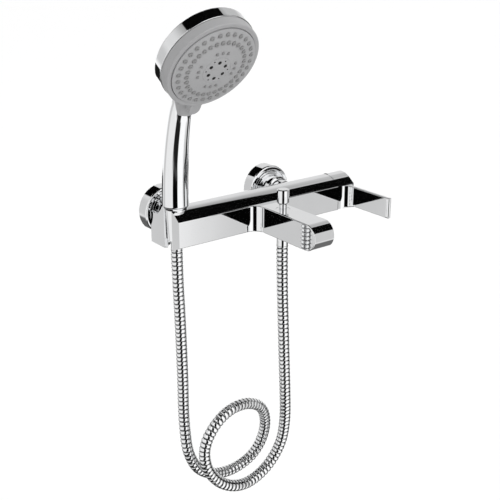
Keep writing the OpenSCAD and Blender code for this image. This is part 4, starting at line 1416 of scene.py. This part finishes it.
@dataclass
class BarBody:
    """Casting with its spout, aerator, hose outlet and diverter."""

    small_edge: float = 0.3
    soft_angle: float = 50.0

    def build(self) -> None:
        """Make the casting and the pieces in it."""
        refined("mixer_body", "bar_casting", CHROME, Body.MIXER, crease=self.soft_angle)
        for node, name in (("aerator_housing", "aerator_ring"), ("hose_nut", "outlet_nut"),
                           ("outlet_ferrule", "outlet_sleeve"), ("diverter_bush", "knob_bush")):
            refined(node, name, CHROME, Body.MIXER, self.small_edge)
        refined("diverter_knob", "pull_knob", CHROME, Body.DIVERTER, self.small_edge)
        dress(aerator_insert=INSERT, outlet_nipple=BRASS, outlet_washer=RUBBER, diverter_valve=BRASS,
              diverter_seal=RUBBER)


@dataclass
class HoseEnd:
    """Conical nut and sleeve at the hand shower's end of the hose."""

    edge: float = 0.4

    def build(self) -> None:
        """Make the nut and the sleeve."""
        refined("cone_nut", "cone_nut_plated", CHROME, Body.HOSE_END, self.edge)
        refined("handset_ferrule", "handset_sleeve", CHROME, Body.HOSE_END, self.edge)
        dress(handset_washer=RUBBER)


@dataclass
class LeverUnit:
    """Lever on the bar's right end, with the cartridge that it works."""

    tip_edge: float = 4.1
    edge_share: float = 0.29
    plug_edge: float = 0.2
    cover_edge: float = 0.4
    root: float = -77.0
    tip: Point = (151.0, -146.5, 0.0)
    soft_angle: float = 50.0

    def blade_edge(self, middle: Vector) -> float:
        """Tell how far an edge of the lever is rounded.

        Args:
            middle: Middle of the edge, in millimetres.

        Returns:
            The full width at the tip's left edge, a share along the blade, and none at the tip's right
            edge or on the cap.
        """
        if middle.y < self.tip[1]:
            return 1.0 if middle.x < self.tip[0] else 0.0
        return self.edge_share if middle.y < self.root else 0.0

    def build(self) -> None:
        """Make the lever and dress the cartridge."""
        refined("lever", "lever_plated", CHROME, Body.LEVER, self.tip_edge, self.soft_angle, self.blade_edge)
        refined("screw_plug", "lever_plug", CHROME, Body.LEVER, self.plug_edge)
        refined("cartridge_cover", "cover_ring", CHROME, Body.MIXER, self.cover_edge)
        dress(cartridge_housing=WHITE, cartridge_seals=RUBBER, fixed_disc=CERAMIC, moving_disc=CERAMIC,
              disc_carrier=WHITE, stem_guide=WHITE, pivot_pin=STEEL, retaining_nut=BRASS, lever_stem=STEEL,
              grub_screw=STEEL)


def main() -> None:
    """Build the scene in order: camera, hose, then the other sub-assemblies."""
    logging.basicConfig(level=logging.INFO, format="%(name)s %(message)s")
    PhotoCamera().build()
    ShowerHose().build()
    Studio().build()
    for assembly in (HandShower(), HoseEnd(), WallUnions(), BarBody(), LeverUnit()):
        assembly.build()


if __name__ == "__main__":
    main()
